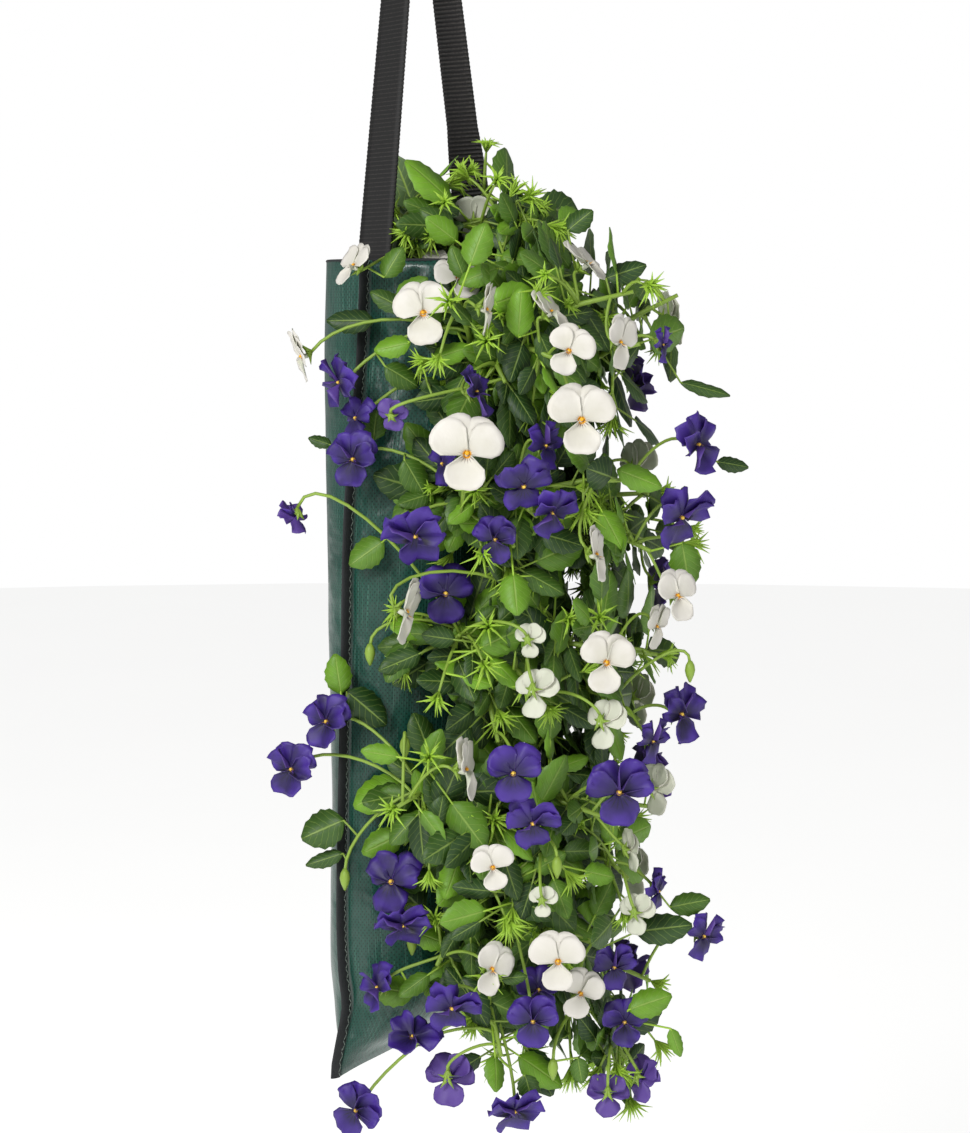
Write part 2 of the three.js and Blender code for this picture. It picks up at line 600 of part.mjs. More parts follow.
// A fan of petals round the eye, thickest there and thinning to the petals' edges
function bloomGeometry(frame) {
  const [x, y, z] = EYE;
  const half = EYE_THICKNESS / 2;
  const rim = PETAL_EDGE.map((point) => onFace(frame, ...point));
  return lens(rim, onFace(frame, x, y, z + half), onFace(frame, x, y, z - half));
}

// Plants

function sideHoles() {
  const holes = [];
  for (let row = 0; row < HOLE_ROWS; row += 1) {
    for (const side of [-1, 1]) {
      const down = FIRST_HOLE_DOWN + HOLE_PITCH_DOWN * row + (side > 0 ? RIGHT_COLUMN_DROP : 0);
      const { halfWidth, halfDepth } = bagSection(down);
      const x = side * HOLE_ACROSS;
      const y = -halfDepth * Math.sqrt(1 - (x / halfWidth) ** 2);
      const outward = vector(x / halfWidth ** 2, y / halfDepth ** 2, 0).normalize();
      holes.push({ at: vector(x, y, RIM_Z - BAG_HEIGHT * down), outward, row, side });
    }
  }
  return holes;
}

const TOP_HOLES = [
  { at: vector(-16, -18, SOIL_TOP_Z), outward: UP, row: -1, side: -1 },
  { at: vector(24, 4, SOIL_TOP_Z), outward: UP, row: -1, side: 1 },
];

// Where each plant's stems reach to, from its hole. Those on the left differ by row, because some
// trail round the left seam.
const TOP_STEM_REACHES = {
  '-1': [[-22, -26, 40], [8, -46, 52], [4, 30, 48], [-16, 16, 44]],
  1: [[-2, -44, 60], [32, -26, 54], [16, 30, 46], [-4, 8, 60]],
};
const LEFT_TRAIL = [62, 34, 26, 74, 36];
const LEFT_LIFT = [26, 6, 0, -4, -14];
const RIGHT_LIFT = [44, 14, 4, -2, -22];

function stemReaches({ row, side }) {
  if (row < 0) return TOP_STEM_REACHES[side];
  if (side < 0) {
    const lift = LEFT_LIFT[row];
    const trail = [-LEFT_TRAIL[row], -22, lift + 6];
    return [trail, [-18, -74, lift - 12], [18, -98, lift + 14], [-34, -50, lift - 30]];
  }
  const lift = RIGHT_LIFT[row];
  return [[-10, -98, lift - 14], [36, -82, lift + 12], [66, -46, lift - 6], [44, -20, lift + 20]];
}

function bezierPoints(corners, steps) {
  const curve = corners.length === 3
    ? new THREE.QuadraticBezierCurve3(...corners)
    : new THREE.CubicBezierCurve3(...corners);
  return Array.from({ length: steps + 1 }, (_, step) => curve.getPoint(step / steps));
}

// A point on the straight steps of a stem, at a share of the way along it
function alongSteps(points, share) {
  const reach = Math.min(share, 0.9999) * (points.length - 1);
  const step = Math.floor(reach);
  return points[step].clone().lerp(points[step + 1], reach - step);
}

function rodsAlong(points, radius) {
  return points.slice(1).map((point, i) => rodBox(points[i], point, radius));
}

function layOutPlants() {
  const taken = [];
  const blooms = BLOOMS.map((bloom) => ({ ...bloom, frame: bloomFrame(bloom) }));
  for (const bloom of blooms) taken.push({ box: bloomBox(bloom.frame), owner: bloom });
  const buds = BUDS.map((bud) => ({ ...bud, centre: seenAt(bud.col, bud.row, bud.near) }));
  for (const bud of buds) taken.push({ box: budBox(bud), owner: bud });
  for (const box of strapBoxes()) taken.push({ box, owner: null });
  const plants = [...sideHoles(), ...TOP_HOLES].map((hole, index) => layOutStems(hole, index, taken));
  for (const plant of plants) layOutTufts(plant, taken);
  for (const bloom of blooms) layOutStalk(bloom, bloomBase(bloom), bloom.frame.facing, plants, taken);
  for (const bud of buds) {
    const base = bud.centre.clone().addScaledVector(UP, BUD_BASE_UP);
    layOutStalk(bud, base, vector(0, 0, -1), plants, taken);
  }
  for (const plant of plants) layOutLeaves(plant, taken);
  return { plants, blooms };
}

function strapBoxes() {
  const centres = strapStations().map(({ at }) => at);
  return rodsAlong(centres, STRAP_WIDTH / 2);
}

function budBox({ centre }) {
  return boxAt(centre, [vector(1, 0, 0), vector(0, 1, 0), vector(0, 0, 1)], BUD_HALVES);
}

// Where a flower's stalk meets it: behind the eye, and on a bloom that is one with its plant a little higher
function bloomBase({ frame, own }) {
  return onFace(frame, 0, own ? 0 : SLIM_STALK_UP, -CALYX_BACK);
}

function layOutStems(hole, index, taken) {
  const draw = seededDraws(7 + 31 * index);
  const plant = { number: index + 1, hole, draw, stems: [], stalks: [], leaves: [], tufts: [] };
  const start = hole.at.clone().addScaledVector(hole.outward, CROWN_RISE - 2);
  for (const reach of stemReaches(hole)) {
    let best = null;
    for (let attempt = 0; attempt < STEM_TRIES && !best; attempt += 1) {
      const end = hole.at.clone().add(vector(...reach));
      end.x += STEM_JITTER.across * (draw() - 0.5);
      end.y += STEM_JITTER.across * (draw() - 0.5);
      end.z += STEM_JITTER.up * (draw() - 0.5);
      const middle = start.clone().lerp(end, 0.45).addScaledVector(hole.outward, STEM_BULGE);
      middle.z += STEM_ARCH.least + STEM_ARCH.spread * draw();
      const apart = end.clone().sub(hole.at);
      apart.addScaledVector(hole.outward, -apart.dot(hole.outward)).setLength(CROWN_RADIUS / 2);
      const foot = start.clone().add(apart);
      const points = bezierPoints([foot, middle, end], STEM_STEPS);
      const rods = rodsAlong(points, STEM_RADIUS + STEM_ROOM);
      const blocked = rods.some((rod) => taken.some((other) =>
        other.owner !== plant && boxesTouch(rod, other.box)));
      const buried = points.slice(1).some((point) => inBag(point, 4));
      const nodes = STALK_PLACES.map((share) => ({ at: alongSteps(points, share), used: false }));
      if (!(blocked || buried)) best = { points, rods, nodes };
    }
    if (best) plant.stems.push(best);
  }
  for (const stem of plant.stems) {
    for (const box of stem.rods) taken.push({ box, owner: plant, stem });
  }
  return plant;
}

function layOutStalk(owner, base, facing, plants, taken) {
  const starts = [];
  for (const plant of plants) {
    for (const stem of plant.stems) {
      for (const node of stem.nodes) starts.push({ plant, node, span: node.at.distanceTo(base) });
    }
  }
  starts.sort((a, b) => a.span - b.span);
  for (const { plant, node, span } of starts) {
    if (node.used || span < STALK_REACH.least || span > STALK_REACH.most) continue;
    for (const lift of STALK_LIFTS) {
      const leave = node.at.clone().lerp(base, 0.3);
      leave.z += lift * span;
      const arrive = base.clone().addScaledVector(facing, -0.12 * span - 4);
      arrive.z += 0.12 * span + 2;
      const points = bezierPoints([node.at, leave, arrive, base], STALK_STEPS);
      const rods = rodsAlong(points, STALK_RADIUS + STALK_ROOM);
      const blocked = rods.some((rod) => taken.some((other) =>
        other.owner !== plant && !(other.owner === owner && !owner.frame) && boxesTouch(rod, other.box)));
      const buried = points.slice(1).some((point) => inBag(point, 2));
      if (!(blocked || buried)) {
        node.used = true;
        plant.stalks.push({ owner, points, base, facing });
        for (const box of rods) taken.push({ box, owner: plant });
        return;
      }
    }
  }
  throw new Error(`no room for a stalk to the flower at ${owner.col}, ${owner.row}`);
}

function layOutTufts(plant, taken) {
  plant.stems.forEach((stem, index) => {
    const at = alongSteps(stem.points, 1);
    const ahead = at.clone().sub(stem.points[STEM_STEPS - 1]).normalize();
    const across = sidewaysOf(ahead);
    const other = ahead.clone().cross(across);
    const reach = TUFT_REACH * (0.9 + 0.25 * plant.draw());
    const spin = plant.draw();
    const middle = at.clone().addScaledVector(ahead, 0.4 * reach);
    const box = boxAt(middle, [ahead, across, other], [0.45 * reach, 0.85 * reach, 0.85 * reach]);
    const blocked = taken.some((entry) => entry.stem !== stem && boxesTouch(box, entry.box));
    if (blocked || inBag(middle, 0.6 * reach) || index >= TUFTS_PER_PLANT) return;
    taken.push({ box, owner: plant });
    plant.tufts.push({ at, ahead, across, other, reach, spin });
  });
}

function layOutLeaves(plant, taken) {
  const { draw } = plant;
  for (const stem of plant.stems) {
    for (const place of LEAF_PLACES) {
      for (let attempt = 0; attempt < LEAF_TRIES && plant.leaves.length < LEAVES_PER_PLANT; attempt += 1) {
        const leaf = drawnLeaf(alongSteps(stem.points, place + 0.05 * (draw() - 0.5)), draw);
        const blocked = leaf.boxes.some((box, i) => taken.some((other) =>
          !(i === 0 && other.stem === stem) && boxesTouch(box, other.box)));
        if (!(blocked || leafInBag(leaf))) {
          plant.leaves.push(leaf);
          for (const box of leaf.boxes) taken.push({ box, owner: plant });
          break;
        }
      }
    }
  }
}

function drawnLeaf(root, draw) {
  const outward = vector(root.x, root.y + 10, 22).normalize();
  const level = UP.clone().cross(outward).normalize();
  const rising = outward.clone().cross(level);
  const turn = 2 * Math.PI * draw();
  const petiole = PETIOLE_LENGTH.least + PETIOLE_LENGTH.spread * draw();
  const length = LEAF_LENGTH.least + LEAF_LENGTH.spread * draw();
  const lean = LEAF_LEAN.least + LEAF_LEAN.spread * draw();
  const roll = LEAF_ROLL * (draw() - 0.5);
  const aside = level.clone().multiplyScalar(Math.cos(turn)).addScaledVector(rising, Math.sin(turn));
  const along = aside.clone().addScaledVector(outward, lean).normalize();
  const flat = outward.clone().addScaledVector(along, -outward.dot(along)).normalize();
  const across = along.clone().cross(flat);
  const normal = flat.clone().multiplyScalar(Math.cos(roll)).addScaledVector(across, Math.sin(roll));
  const wide = along.clone().cross(normal);
  const base = root.clone().addScaledVector(along, petiole);
  const width = length * LEAF_ASPECT;
  const middle = base.clone().addScaledVector(along, length / 2).addScaledVector(normal, -1.8);
  return {
    root, base, along, wide, normal, petiole, length, width,
    boxes: [
      rodBox(root, base, 1.2),
      boxAt(middle, [along, wide, normal], [length / 2 + 0.8, width / 2 + 0.6, 2.9]),
    ],
  };
}

function leafInBag({ base, along, wide, length, width }) {
  for (const share of [0, 0.5, 1]) {
    for (const side of [-0.5, 0, 0.5]) {
      const point = base.clone().addScaledVector(along, share * length).addScaledVector(wide, side * width);
      if (inBag(point, LEAF_ROOM)) return true;
    }
  }
  return false;
}

// Half of a leaf's waved edge, as shares of half its width and of its length
const LEAF_EDGE = [[0.96, 0.26], [0.78, 0.42], [0.82, 0.68]];

// A three-sided stalk that widens into the blade, which thins from its middle to its waved edge
function leafGeometry({ base, along, wide, normal, petiole, length, width }) {
  const place = (across, forward, lift) => {
    const sink = LEAF_FOLD * Math.abs(across) + LEAF_DROOP * Math.max(0, forward / length) ** 2;
    return base.clone().addScaledVector(wide, across).addScaledVector(along, forward)
      .addScaledVector(normal, lift - sink);
  };
  const neck = PETIOLE_WIDTH / 2;
  const section = (forward) =>
    [place(-neck, forward, 0), place(neck, forward, 0), place(0, forward, -PETIOLE_WIDTH)];
  const half = (side) => LEAF_EDGE.map(([across, forward]) =>
    place((side * across * width) / 2, forward * length, 0));
  const right = half(1);
  const left = half(-1).reverse();
  const middle = 0.42 * length;
  const edge = [1, ...Array.from({ length: 2 * LEAF_EDGE.length + 1 }, (_, i) => 6 + i), 0];
  const points = [...section(0), ...section(-petiole), ...right, place(0, length, 0), ...left,
    place(0, middle, BLADE_THICKNESS / 2), place(0, middle, -BLADE_THICKNESS / 2)];
  const front = points.length - 2;
  const back = points.length - 1;
  const triangles = [[3, 5, 4], [front, 0, 1], [back, 1, 2], [back, 2, 0]];
  for (const [a, b] of [[0, 1], [1, 2], [2, 0]]) triangles.push([a, b + 3, b], [a, a + 3, b + 3]);
  for (let i = 0; i < edge.length - 1; i += 1) {
    triangles.push([front, edge[i], edge[i + 1]], [back, edge[i + 1], edge[i]]);
  }
  return closedGeometry(points, triangles);
}

// A tuft of finger-like stipules: a star of slim spikes, forward and apart, round the tip of a stem
function tuftGeometry({ at, ahead, across, other, reach, spin }) {
  const place = (forward, apart, turn) => at.clone().addScaledVector(ahead, forward)
    .addScaledVector(across, apart * Math.cos(turn)).addScaledVector(other, apart * Math.sin(turn));
  const points = [place(-2, 0, 0), place(0.6 * reach, 0, 0)];
  const triangles = [];
  const count = 2 * TUFT_BLADES;
  for (let i = 0; i < count; i += 1) {
    const turn = (2 * Math.PI * (i + spin)) / count;
    points.push(i % 2 ? place(0.16 * reach, 0.13 * reach, turn) : place(0.72 * reach, 0.8 * reach, turn));
    const a = 2 + i;
    const b = 2 + ((i + 1) % count);
    triangles.push([0, b, a], [1, a, b]);
  }
  return closedGeometry(points, triangles);
}

// A flower's stalk opens at its end into the calyx, a short cup that stops just short of the petals.
// On a bloom that is one with its plant it stays slim and runs into the petals.
function stalkGeometry({ points, base, facing, owner }) {
  const full = CALYX_BACK * (owner.frame ? owner.frame.scale : 0);
  const cup = owner.own
    ? { radius: CALYX_RADIUS, depth: full - CALYX_SHORT }
    : { radius: STALK_RADIUS, depth: full - SLIM_SHORT };
  const radii = points.map(() => STALK_RADIUS);
  return tube([...points, base.clone().addScaledVector(facing, cup.depth)], [...radii, cup.radius], 3);
}

function budGeometry({ base }) {
  const points = [1.5, -3, -7, -11].map((z) => base.clone().addScaledVector(UP, z));
  return tube(points, [1.2, 3.1, 2.4, 0.6], 4);
}

function plantSolid(plant) {
  const { hole } = plant;
  const crown = [-SOIL_HOLE_DEPTH + GAP, CROWN_RISE].map((depth) =>
    hole.at.clone().addScaledVector(hole.outward, depth));
  const pieces = [tube(crown, [CROWN_RADIUS, CROWN_RADIUS], CROWN_SIDES)];
  for (const { points } of plant.stems) pieces.push(tube(points, points.map(() => STEM_RADIUS), 3));
  for (const stalk of plant.stalks) {
    pieces.push(stalkGeometry(stalk));
    if (!stalk.owner.frame) pieces.push(budGeometry(stalk));
    else if (!stalk.owner.own) pieces.push(bloomGeometry(stalk.owner.frame));
  }
  pieces.push(...plant.tufts.map(tuftGeometry));
  pieces.push(...plant.leaves.map(leafGeometry));
  return joined(pieces);
}

// Holes

function holeCutter({ at, outward }, radius, depth, sides) {
  const cylinder = new THREE.CylinderGeometry(radius, radius, 2 * depth, sides);
  cylinder.applyQuaternion(new THREE.Quaternion().setFromUnitVectors(vector(0, 1, 0), outward));
  cylinder.translate(at.x, at.y, at.z);
  return solidOf(cylinder);
}

// Assembly

const { plants, blooms } = layOutPlants();

let frontPanel = solidOf(panel(-1));
let soilFill = solidOf(soil());
for (const { hole } of plants) {
  const soilHole = holeCutter(hole, SOIL_HOLE_RADIUS, SOIL_HOLE_DEPTH, SOIL_HOLE_SIDES);
  soilFill = soilFill.subtract(soilHole);
  if (hole.row < 0) continue;
  frontPanel = frontPanel.subtract(holeCutter(hole, HOLE_RADIUS, HOLE_CUT_DEPTH, HOLE_SIDES));
}

const group = new THREE.Group();
group.add(named('front_panel', geometryOf(frontPanel), CLOTH_GREEN));
group.add(named('back_panel', panel(1), CLOTH_GREEN));
group.add(named('seam_binding_left', seamTape(-1), TAPE_BLACK));
group.add(named('seam_binding_right', seamTape(1), TAPE_BLACK));
group.add(named('strap_loop', strap(), WEBBING_BLACK));
group.add(named('soil_fill', geometryOf(soilFill), SOIL_BROWN));
for (const plant of plants) {
  const name = `plant_${String(plant.number).padStart(2, '0')}`;
  group.add(named(name, geometryOf(plantSolid(plant)), LEAF_GREEN));
}
for (const tint of [WHITE, VIOLET]) {
  const material = tint === WHITE ? PETAL_WHITE : PETAL_VIOLET;
  blooms.filter((bloom) => bloom.tint === tint && bloom.own).forEach((bloom, index) => {
    const name = `${tint}_bloom_${String(index + 1).padStart(2, '0')}`;
    group.add(named(name, bloomGeometry(bloom.frame), material));
  });
}
group.position.set(-HOOK.x, -HOOK.y, 0);

export default group;
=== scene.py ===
"""Cloth bag on a webbing loop, its front planted from rim to foot with white and violet horned violets.

Plants and bag are worked out in millimetres from the bag's upright axis, and then set in the
frame, in metres, whose origin is where the strap bears on its hook.
"""

import logging
import math
from dataclasses import dataclass, field
from enum import Enum
from functools import lru_cache
from typing import Callable, Optional, Sequence, TypeVar

import bmesh
import bpy
import numpy as np
from mathutils import Matrix, Vector, noise


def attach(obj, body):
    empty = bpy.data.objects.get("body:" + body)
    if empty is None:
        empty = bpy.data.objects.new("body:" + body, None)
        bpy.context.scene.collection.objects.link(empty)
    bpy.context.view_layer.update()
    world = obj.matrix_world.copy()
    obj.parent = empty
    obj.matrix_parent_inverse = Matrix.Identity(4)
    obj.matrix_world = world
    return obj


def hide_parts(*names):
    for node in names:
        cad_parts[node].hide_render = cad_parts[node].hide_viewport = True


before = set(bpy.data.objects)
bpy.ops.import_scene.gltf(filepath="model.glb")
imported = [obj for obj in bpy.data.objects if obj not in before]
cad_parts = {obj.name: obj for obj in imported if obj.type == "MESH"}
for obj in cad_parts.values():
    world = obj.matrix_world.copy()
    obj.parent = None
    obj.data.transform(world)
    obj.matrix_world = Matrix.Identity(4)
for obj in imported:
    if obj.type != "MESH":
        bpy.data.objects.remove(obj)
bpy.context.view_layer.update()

LOG = logging.getLogger("horned_violet")
MM = 0.001

Point = np.ndarray
Where = Callable[[float, float], Sequence[float]]
Item = TypeVar("Item")
Material = bpy.types.Material
Tree = bpy.types.NodeTree
Socket = bpy.types.NodeSocket
Pattern = tuple[Socket, Socket]


# Directions and places, in millimetres

def vector(x: float, y: float, z: float) -> Point:
    """Returns a point or a direction."""
    return np.array((x, y, z), dtype=float)


def length_of(direction: Point) -> float:
    """Returns a direction's length."""
    return math.sqrt(direction[0] ** 2 + direction[1] ** 2 + direction[2] ** 2)


def unit(direction: Point) -> Point:
    """Returns the direction with a length of one."""
    return direction / length_of(direction)


def cross(a: Point, b: Point) -> Point:
    """Returns the direction square to both."""
    return np.array((
        a[1] * b[2] - a[2] * b[1],
        a[2] * b[0] - a[0] * b[2],
        a[0] * b[1] - a[1] * b[0],
    ))


def turned(a: Point, b: Point, angle: float) -> Point:
    """Returns the direction at an angle from a towards b."""
    return a * math.cos(angle) + b * math.sin(angle)


UP = vector(0, 0, 1)
HOOK = vector(-3, 4, 0)


def sideways_of(direction: Point) -> Point:
    """Returns a level direction square to the one given."""
    reference = vector(1, 0, 0) if abs(direction[2]) > 0.9 else UP
    return unit(cross(reference, direction))


def in_frame(point: Point) -> Vector:
    """Returns a point's place in the frame, in metres."""
    return Vector((point - HOOK) * MM)


def placing(origin: Point, axes: Sequence[Point], scales: Sequence[float]) -> Matrix:
    """Works out how a shape cut in millimetres is set in the frame.

    Args:
        origin: Where the shape's own origin goes.
        axes: The directions of its x, y and z.
        scales: How much it is stretched along each.

    Returns:
        The matrix from the shape's millimetres to the frame's metres.
    """
    columns = [Vector(axis * scale * MM).to_4d() for axis, scale in zip(axes, scales)]
    for column in columns:
        column.w = 0
    return Matrix((*columns, in_frame(origin).to_4d())).transposed()


class Draws:
    """Seeded draws between 0 and 1."""

    def __init__(self, seed: int) -> None:
        """Starts the draws from a seed."""
        self.state = seed

    def __call__(self) -> float:
        """Returns the next draw."""
        self.state = self.state * 16807 % 2147483647
        return self.state / 2147483647

    def between(self, low: float, high: float) -> float:
        """Returns the next draw between two values."""
        return low + (high - low) * self()

    def pick(self, items: Sequence[Item]) -> Item:
        """Returns the item that the next draw falls on."""
        return items[int(self() * 0.999 * len(items))]


# The bag

@dataclass(frozen=True)
class Station:
    """The filled bag's half width and half depth at a share of the way down."""

    down: float
    half_width: float
    half_depth: float


@dataclass(frozen=True)
class BagShape:
    """The filled bag: round at its open rim, sewn flat at its foot."""

    rim_z: float = -245
    height: float = 474
    cloth: float = 1.2
    gap: float = 0.35
    foot_rise: float = 8
    soil_top_z: float = -272
    tape_depth: float = 8.5
    tape_thickness: float = 2.6
    stations: tuple[Station, ...] = (
        Station(0, 57, 62), Station(0.12, 61, 60), Station(0.3, 73, 51), Station(0.5, 77, 45),
        Station(0.68, 80.5, 38.5), Station(0.8, 82, 40), Station(0.87, 80.5, 42),
        Station(0.915, 77.5, 41), Station(0.955, 83, 28), Station(0.985, 87.5, 6),
        Station(1, 88, 1.5),
    )

    def section(self, down: float) -> tuple[float, float]:
        """Returns the half width and half depth on the straight between two stations."""
        after = next(i for i, station in enumerate(self.stations) if station.down >= down)
        below = self.stations[max(1, after)]
        above = self.stations[max(1, after) - 1]
        share = (down - above.down) / (below.down - above.down)
        return (
            above.half_width + (below.half_width - above.half_width) * share,
            above.half_depth + (below.half_depth - above.half_depth) * share,
        )

    def rounded(self, down: float) -> tuple[float, float]:
        """Returns the half width and half depth on smooth curves through the stations."""
        down = min(max(down, 0.0), 1.0)
        after = max(1, next(i for i, station in enumerate(self.stations) if station.down >= down))
        near = [self.stations[min(max(after + k, 0), len(self.stations) - 1)] for k in (-2, -1, 0, 1)]
        span = near[2].down - near[1].down
        share = (down - near[1].down) / span

        def curve(values: Sequence[float]) -> float:
            """Returns the cubic curve's value, with its slopes kept to the stations' spacing."""
            slopes = []
            for left, here, right in ((0, 1, 2), (1, 2, 3)):
                run = max(near[right].down - near[left].down, 1e-6)
                slopes.append((values[right] - values[left]) / run * span)
            square, cube = share ** 2, share ** 3
            return (
                (2 * cube - 3 * square + 1) * values[1] + (cube - 2 * square + share) * slopes[0]
                + (3 * square - 2 * cube) * values[2] + (cube - square) * slopes[1]
            )

        return (
            curve([station.half_width for station in near]),
            max(1.4, curve([station.half_depth for station in near])),
        )

    def level(self, down: float, turn: float) -> float:
        """Returns the height of a place on the cloth, whose foot rises in its middle."""
        return self.rim_z - self.height * down + self.foot_rise * down ** 6 * math.sin(turn) ** 2

    def contains(self, point: Point, margin: float) -> bool:
        """Tells whether a point lies in the bag or nearer to it than the margin.

        Args:
            point: The point.
            margin: The clear room to keep.

        Returns:
            True where it does. The open mouth above the soil counts as free.
        """
        down = (self.rim_z - point[2]) / self.height
        if down < -0.02 or down > 1.02:
            return False
        half_width, half_depth = self.section(min(max(down, 0), 1))

        def within(wide: float, deep: float) -> bool:
            """Tells whether the point is inside an oval."""
            return (point[0] / wide) ** 2 + (point[1] / deep) ** 2 < 1

        inset = self.cloth + margin
        over_soil = point[2] > self.soil_top_z + margin
        in_mouth = over_soil and within(half_width - inset, half_depth - inset)
        return within(half_width + self.tape_depth + margin, half_depth + margin) and not in_mouth


BAG = BagShape()


# The view that the flowers are set out from

@dataclass(frozen=True)
class PhotoView:
    """Where the camera stands, and how the photograph's pixels map to places."""

    azimuth: float = math.radians(-55)
    elevation: float = math.radians(5.5)
    distance: float = 1650
    focus: float = 2750
    columns: float = 970
    rows: float = 1133
    aside: float = 34
    z: float = -427

    @property
    def to_right(self) -> Point:
        """The level direction to the picture's right."""
        return vector(math.cos(self.azimuth), math.sin(self.azimuth), 0)

    @property
    def to_viewer(self) -> Point:
        """The level direction towards the camera."""
        return vector(math.sin(self.azimuth), -math.cos(self.azimuth), 0)

    @property
    def back(self) -> Point:
        """The direction from the object to the camera."""
        return turned(self.to_viewer, UP, self.elevation)

    @property
    def upright(self) -> Point:
        """The direction to the picture's top."""
        return turned(UP, -self.to_viewer, self.elevation)

    @property
    def target(self) -> Point:
        """The place that the camera looks at."""
        return self.to_right * self.aside + UP * self.z

    @property
    def pixel_size(self) -> float:
        """How many millimetres a pixel shows at the target."""
        return self.distance / self.focus

    @property
    def eye(self) -> Point:
        """Where the camera stands."""
        return self.target + self.back * self.distance

    def place(self, col: float, row: float, near: float) -> Point:
        """Finds the place seen at a pixel.

        Args:
            col: The pixel's column.
            row: The pixel's row.
            near: How far the place stands out from the bag's axis, towards the camera.

        Returns:
            The place.
        """
        ray = -self.back + self.to_right * ((col - self.columns / 2) / self.focus)
        ray = ray + self.upright * ((self.rows / 2 - row) / self.focus)
        reach = (near - self.eye @ self.to_viewer) / (ray @ self.to_viewer)
        return self.eye + ray * reach

    def pixel(self, place: Point) -> tuple[float, float]:
        """Returns the column and row at which a place is seen."""
        away = place - self.eye
        depth = -(away @ self.back)
        col = self.columns / 2 + self.focus * (away @ self.to_right) / depth
        return col, self.rows / 2 - self.focus * (away @ self.upright) / depth


VIEW = PhotoView()
TO_RIGHT, TO_VIEWER = VIEW.to_right, VIEW.to_viewer


# Blooms and buds, set out by where they are seen

class Tint(Enum):
    """The two colours of the blooms."""

    WHITE = "white"
    VIOLET = "violet"

    @property
    def slot(self) -> str:
        """The material slot of its petals."""
        return f"petals_{self.value}"


@dataclass(frozen=True)
class BloomFrame:
    """A bloom's middle, its directions, and its size beside the bloom that is cut."""

    centre: Point
    right: Point
    up: Point
    facing: Point
    scale: float

    def at(self, x: float, y: float, z: float) -> Point:
        """Returns a place on the bloom from the cut bloom's millimetres."""
        offset = self.right * (x * self.scale) + self.up * (y * self.scale)
        return self.centre + offset + self.facing * (z * self.scale)


@dataclass(eq=False)
class Bloom:
    """One bloom: pixel, nearness, turn from the viewer, nod, roll and width of face.

    Its own node where own is true; the others are one with their plant.
    """

    tint: Tint
    col: float
    row: float
    near: float
    turn: float
    nod: float
    roll: float
    width: float
    own: bool
    face_width: float = 34
    calyx_back: float = 9
    slim_stalk_up: float = 5

    @property
    def frame(self) -> BloomFrame:
        """The bloom's place and directions."""
        facing = turned(TO_VIEWER, TO_RIGHT, math.radians(self.turn))
        facing = turned(facing, UP, math.radians(self.nod))
        upright = unit(UP - facing * facing[2])
        aside = cross(upright, facing)
        angle = math.radians(self.roll)
        centre = VIEW.place(self.col, self.row, self.near)
        up, right = turned(upright, aside, angle), turned(aside, -upright, angle)
        return BloomFrame(centre, right, up, facing, self.width / self.face_width)

    @property
    def base(self) -> Point:
        """Where the stalk meets the bloom."""
        return self.frame.at(0, 0 if self.own else self.slim_stalk_up, -self.calyx_back)


@dataclass(eq=False)
class Bud:
    """One closed bud, which hangs from its stalk."""

    col: float
    row: float
    near: float
    base_up: float = 5

    @property
    def centre(self) -> Point:
        """The bud's middle."""
        return VIEW.place(self.col, self.row, self.near)

    @property
    def base(self) -> Point:
        """Where the stalk meets the bud."""
        return self.centre + UP * self.base_up


def blooms_of(tint: Tint, rows: Sequence[tuple[float, ...]], own: Sequence[int]) -> list[Bloom]:
    """Makes the blooms of one tint.

    Args:
        tint: Their tint.
        rows: Column, row, nearness, turn, nod, roll and width of each.
        own: The places in the list of the blooms that are nodes of their own.

    Returns:
        The blooms, in order.
    """
    return [Bloom(tint, *values, index in own) for index, values in enumerate(rows)]


WHITE_BLOOMS = blooms_of(Tint.WHITE, (
    (423, 313, 100, -8, 5, -8, 33), (467, 454, 136, 0, 8, 6, 40), (582, 420, 136, 10, 5, 3, 36),
    (569, 351, 122, 5, -5, 25, 26), (553, 311, 106, 70, 30, 0, 27), (622, 343, 100, 55, -10, 10, 28),
    (588, 262, 72, 70, 40, 20, 30), (488, 310, 118, 82, -15, 0, 27), (475, 220, 12, 170, 15, 0, 27),
    (352, 265, 80, -60, 25, 0, 26), (300, 357, 78, -80, -25, 30, 28), (432, 266, 44, -25, 35, 30, 22),
    (459, 277, 78, 20, 30, -20, 26), (408, 613, 118, 72, -20, 30, 34), (598, 555, 122, 72, 0, 15, 29),
    (679, 596, 88, 35, 5, 0, 28), (658, 627, 72, 60, -15, 0, 24), (607, 663, 124, 12, 0, 10, 31),
    (536, 694, 130, 150, -30, 0, 26), (605, 725, 118, 140, -25, 0, 26), (530, 641, 118, 155, -10, 0, 18),
    (468, 770, 132, 78, 0, 10, 33), (656, 790, 74, 130, -10, 0, 28), (493, 868, 126, 10, -5, -10, 24),
    (543, 902, 122, 165, -20, 0, 16), (493, 970, 124, 35, -8, 30, 28), (558, 962, 128, -5, 5, 0, 31),
    (581, 994, 108, 15, -5, 20, 26), (632, 850, 84, 110, 0, 0, 23), (637, 915, 88, 150, -20, 0, 22),
), own=(0, 1, 2, 3, 4, 5, 6, 7, 8, 9, 10, 13, 15, 17, 21, 23, 25, 26))

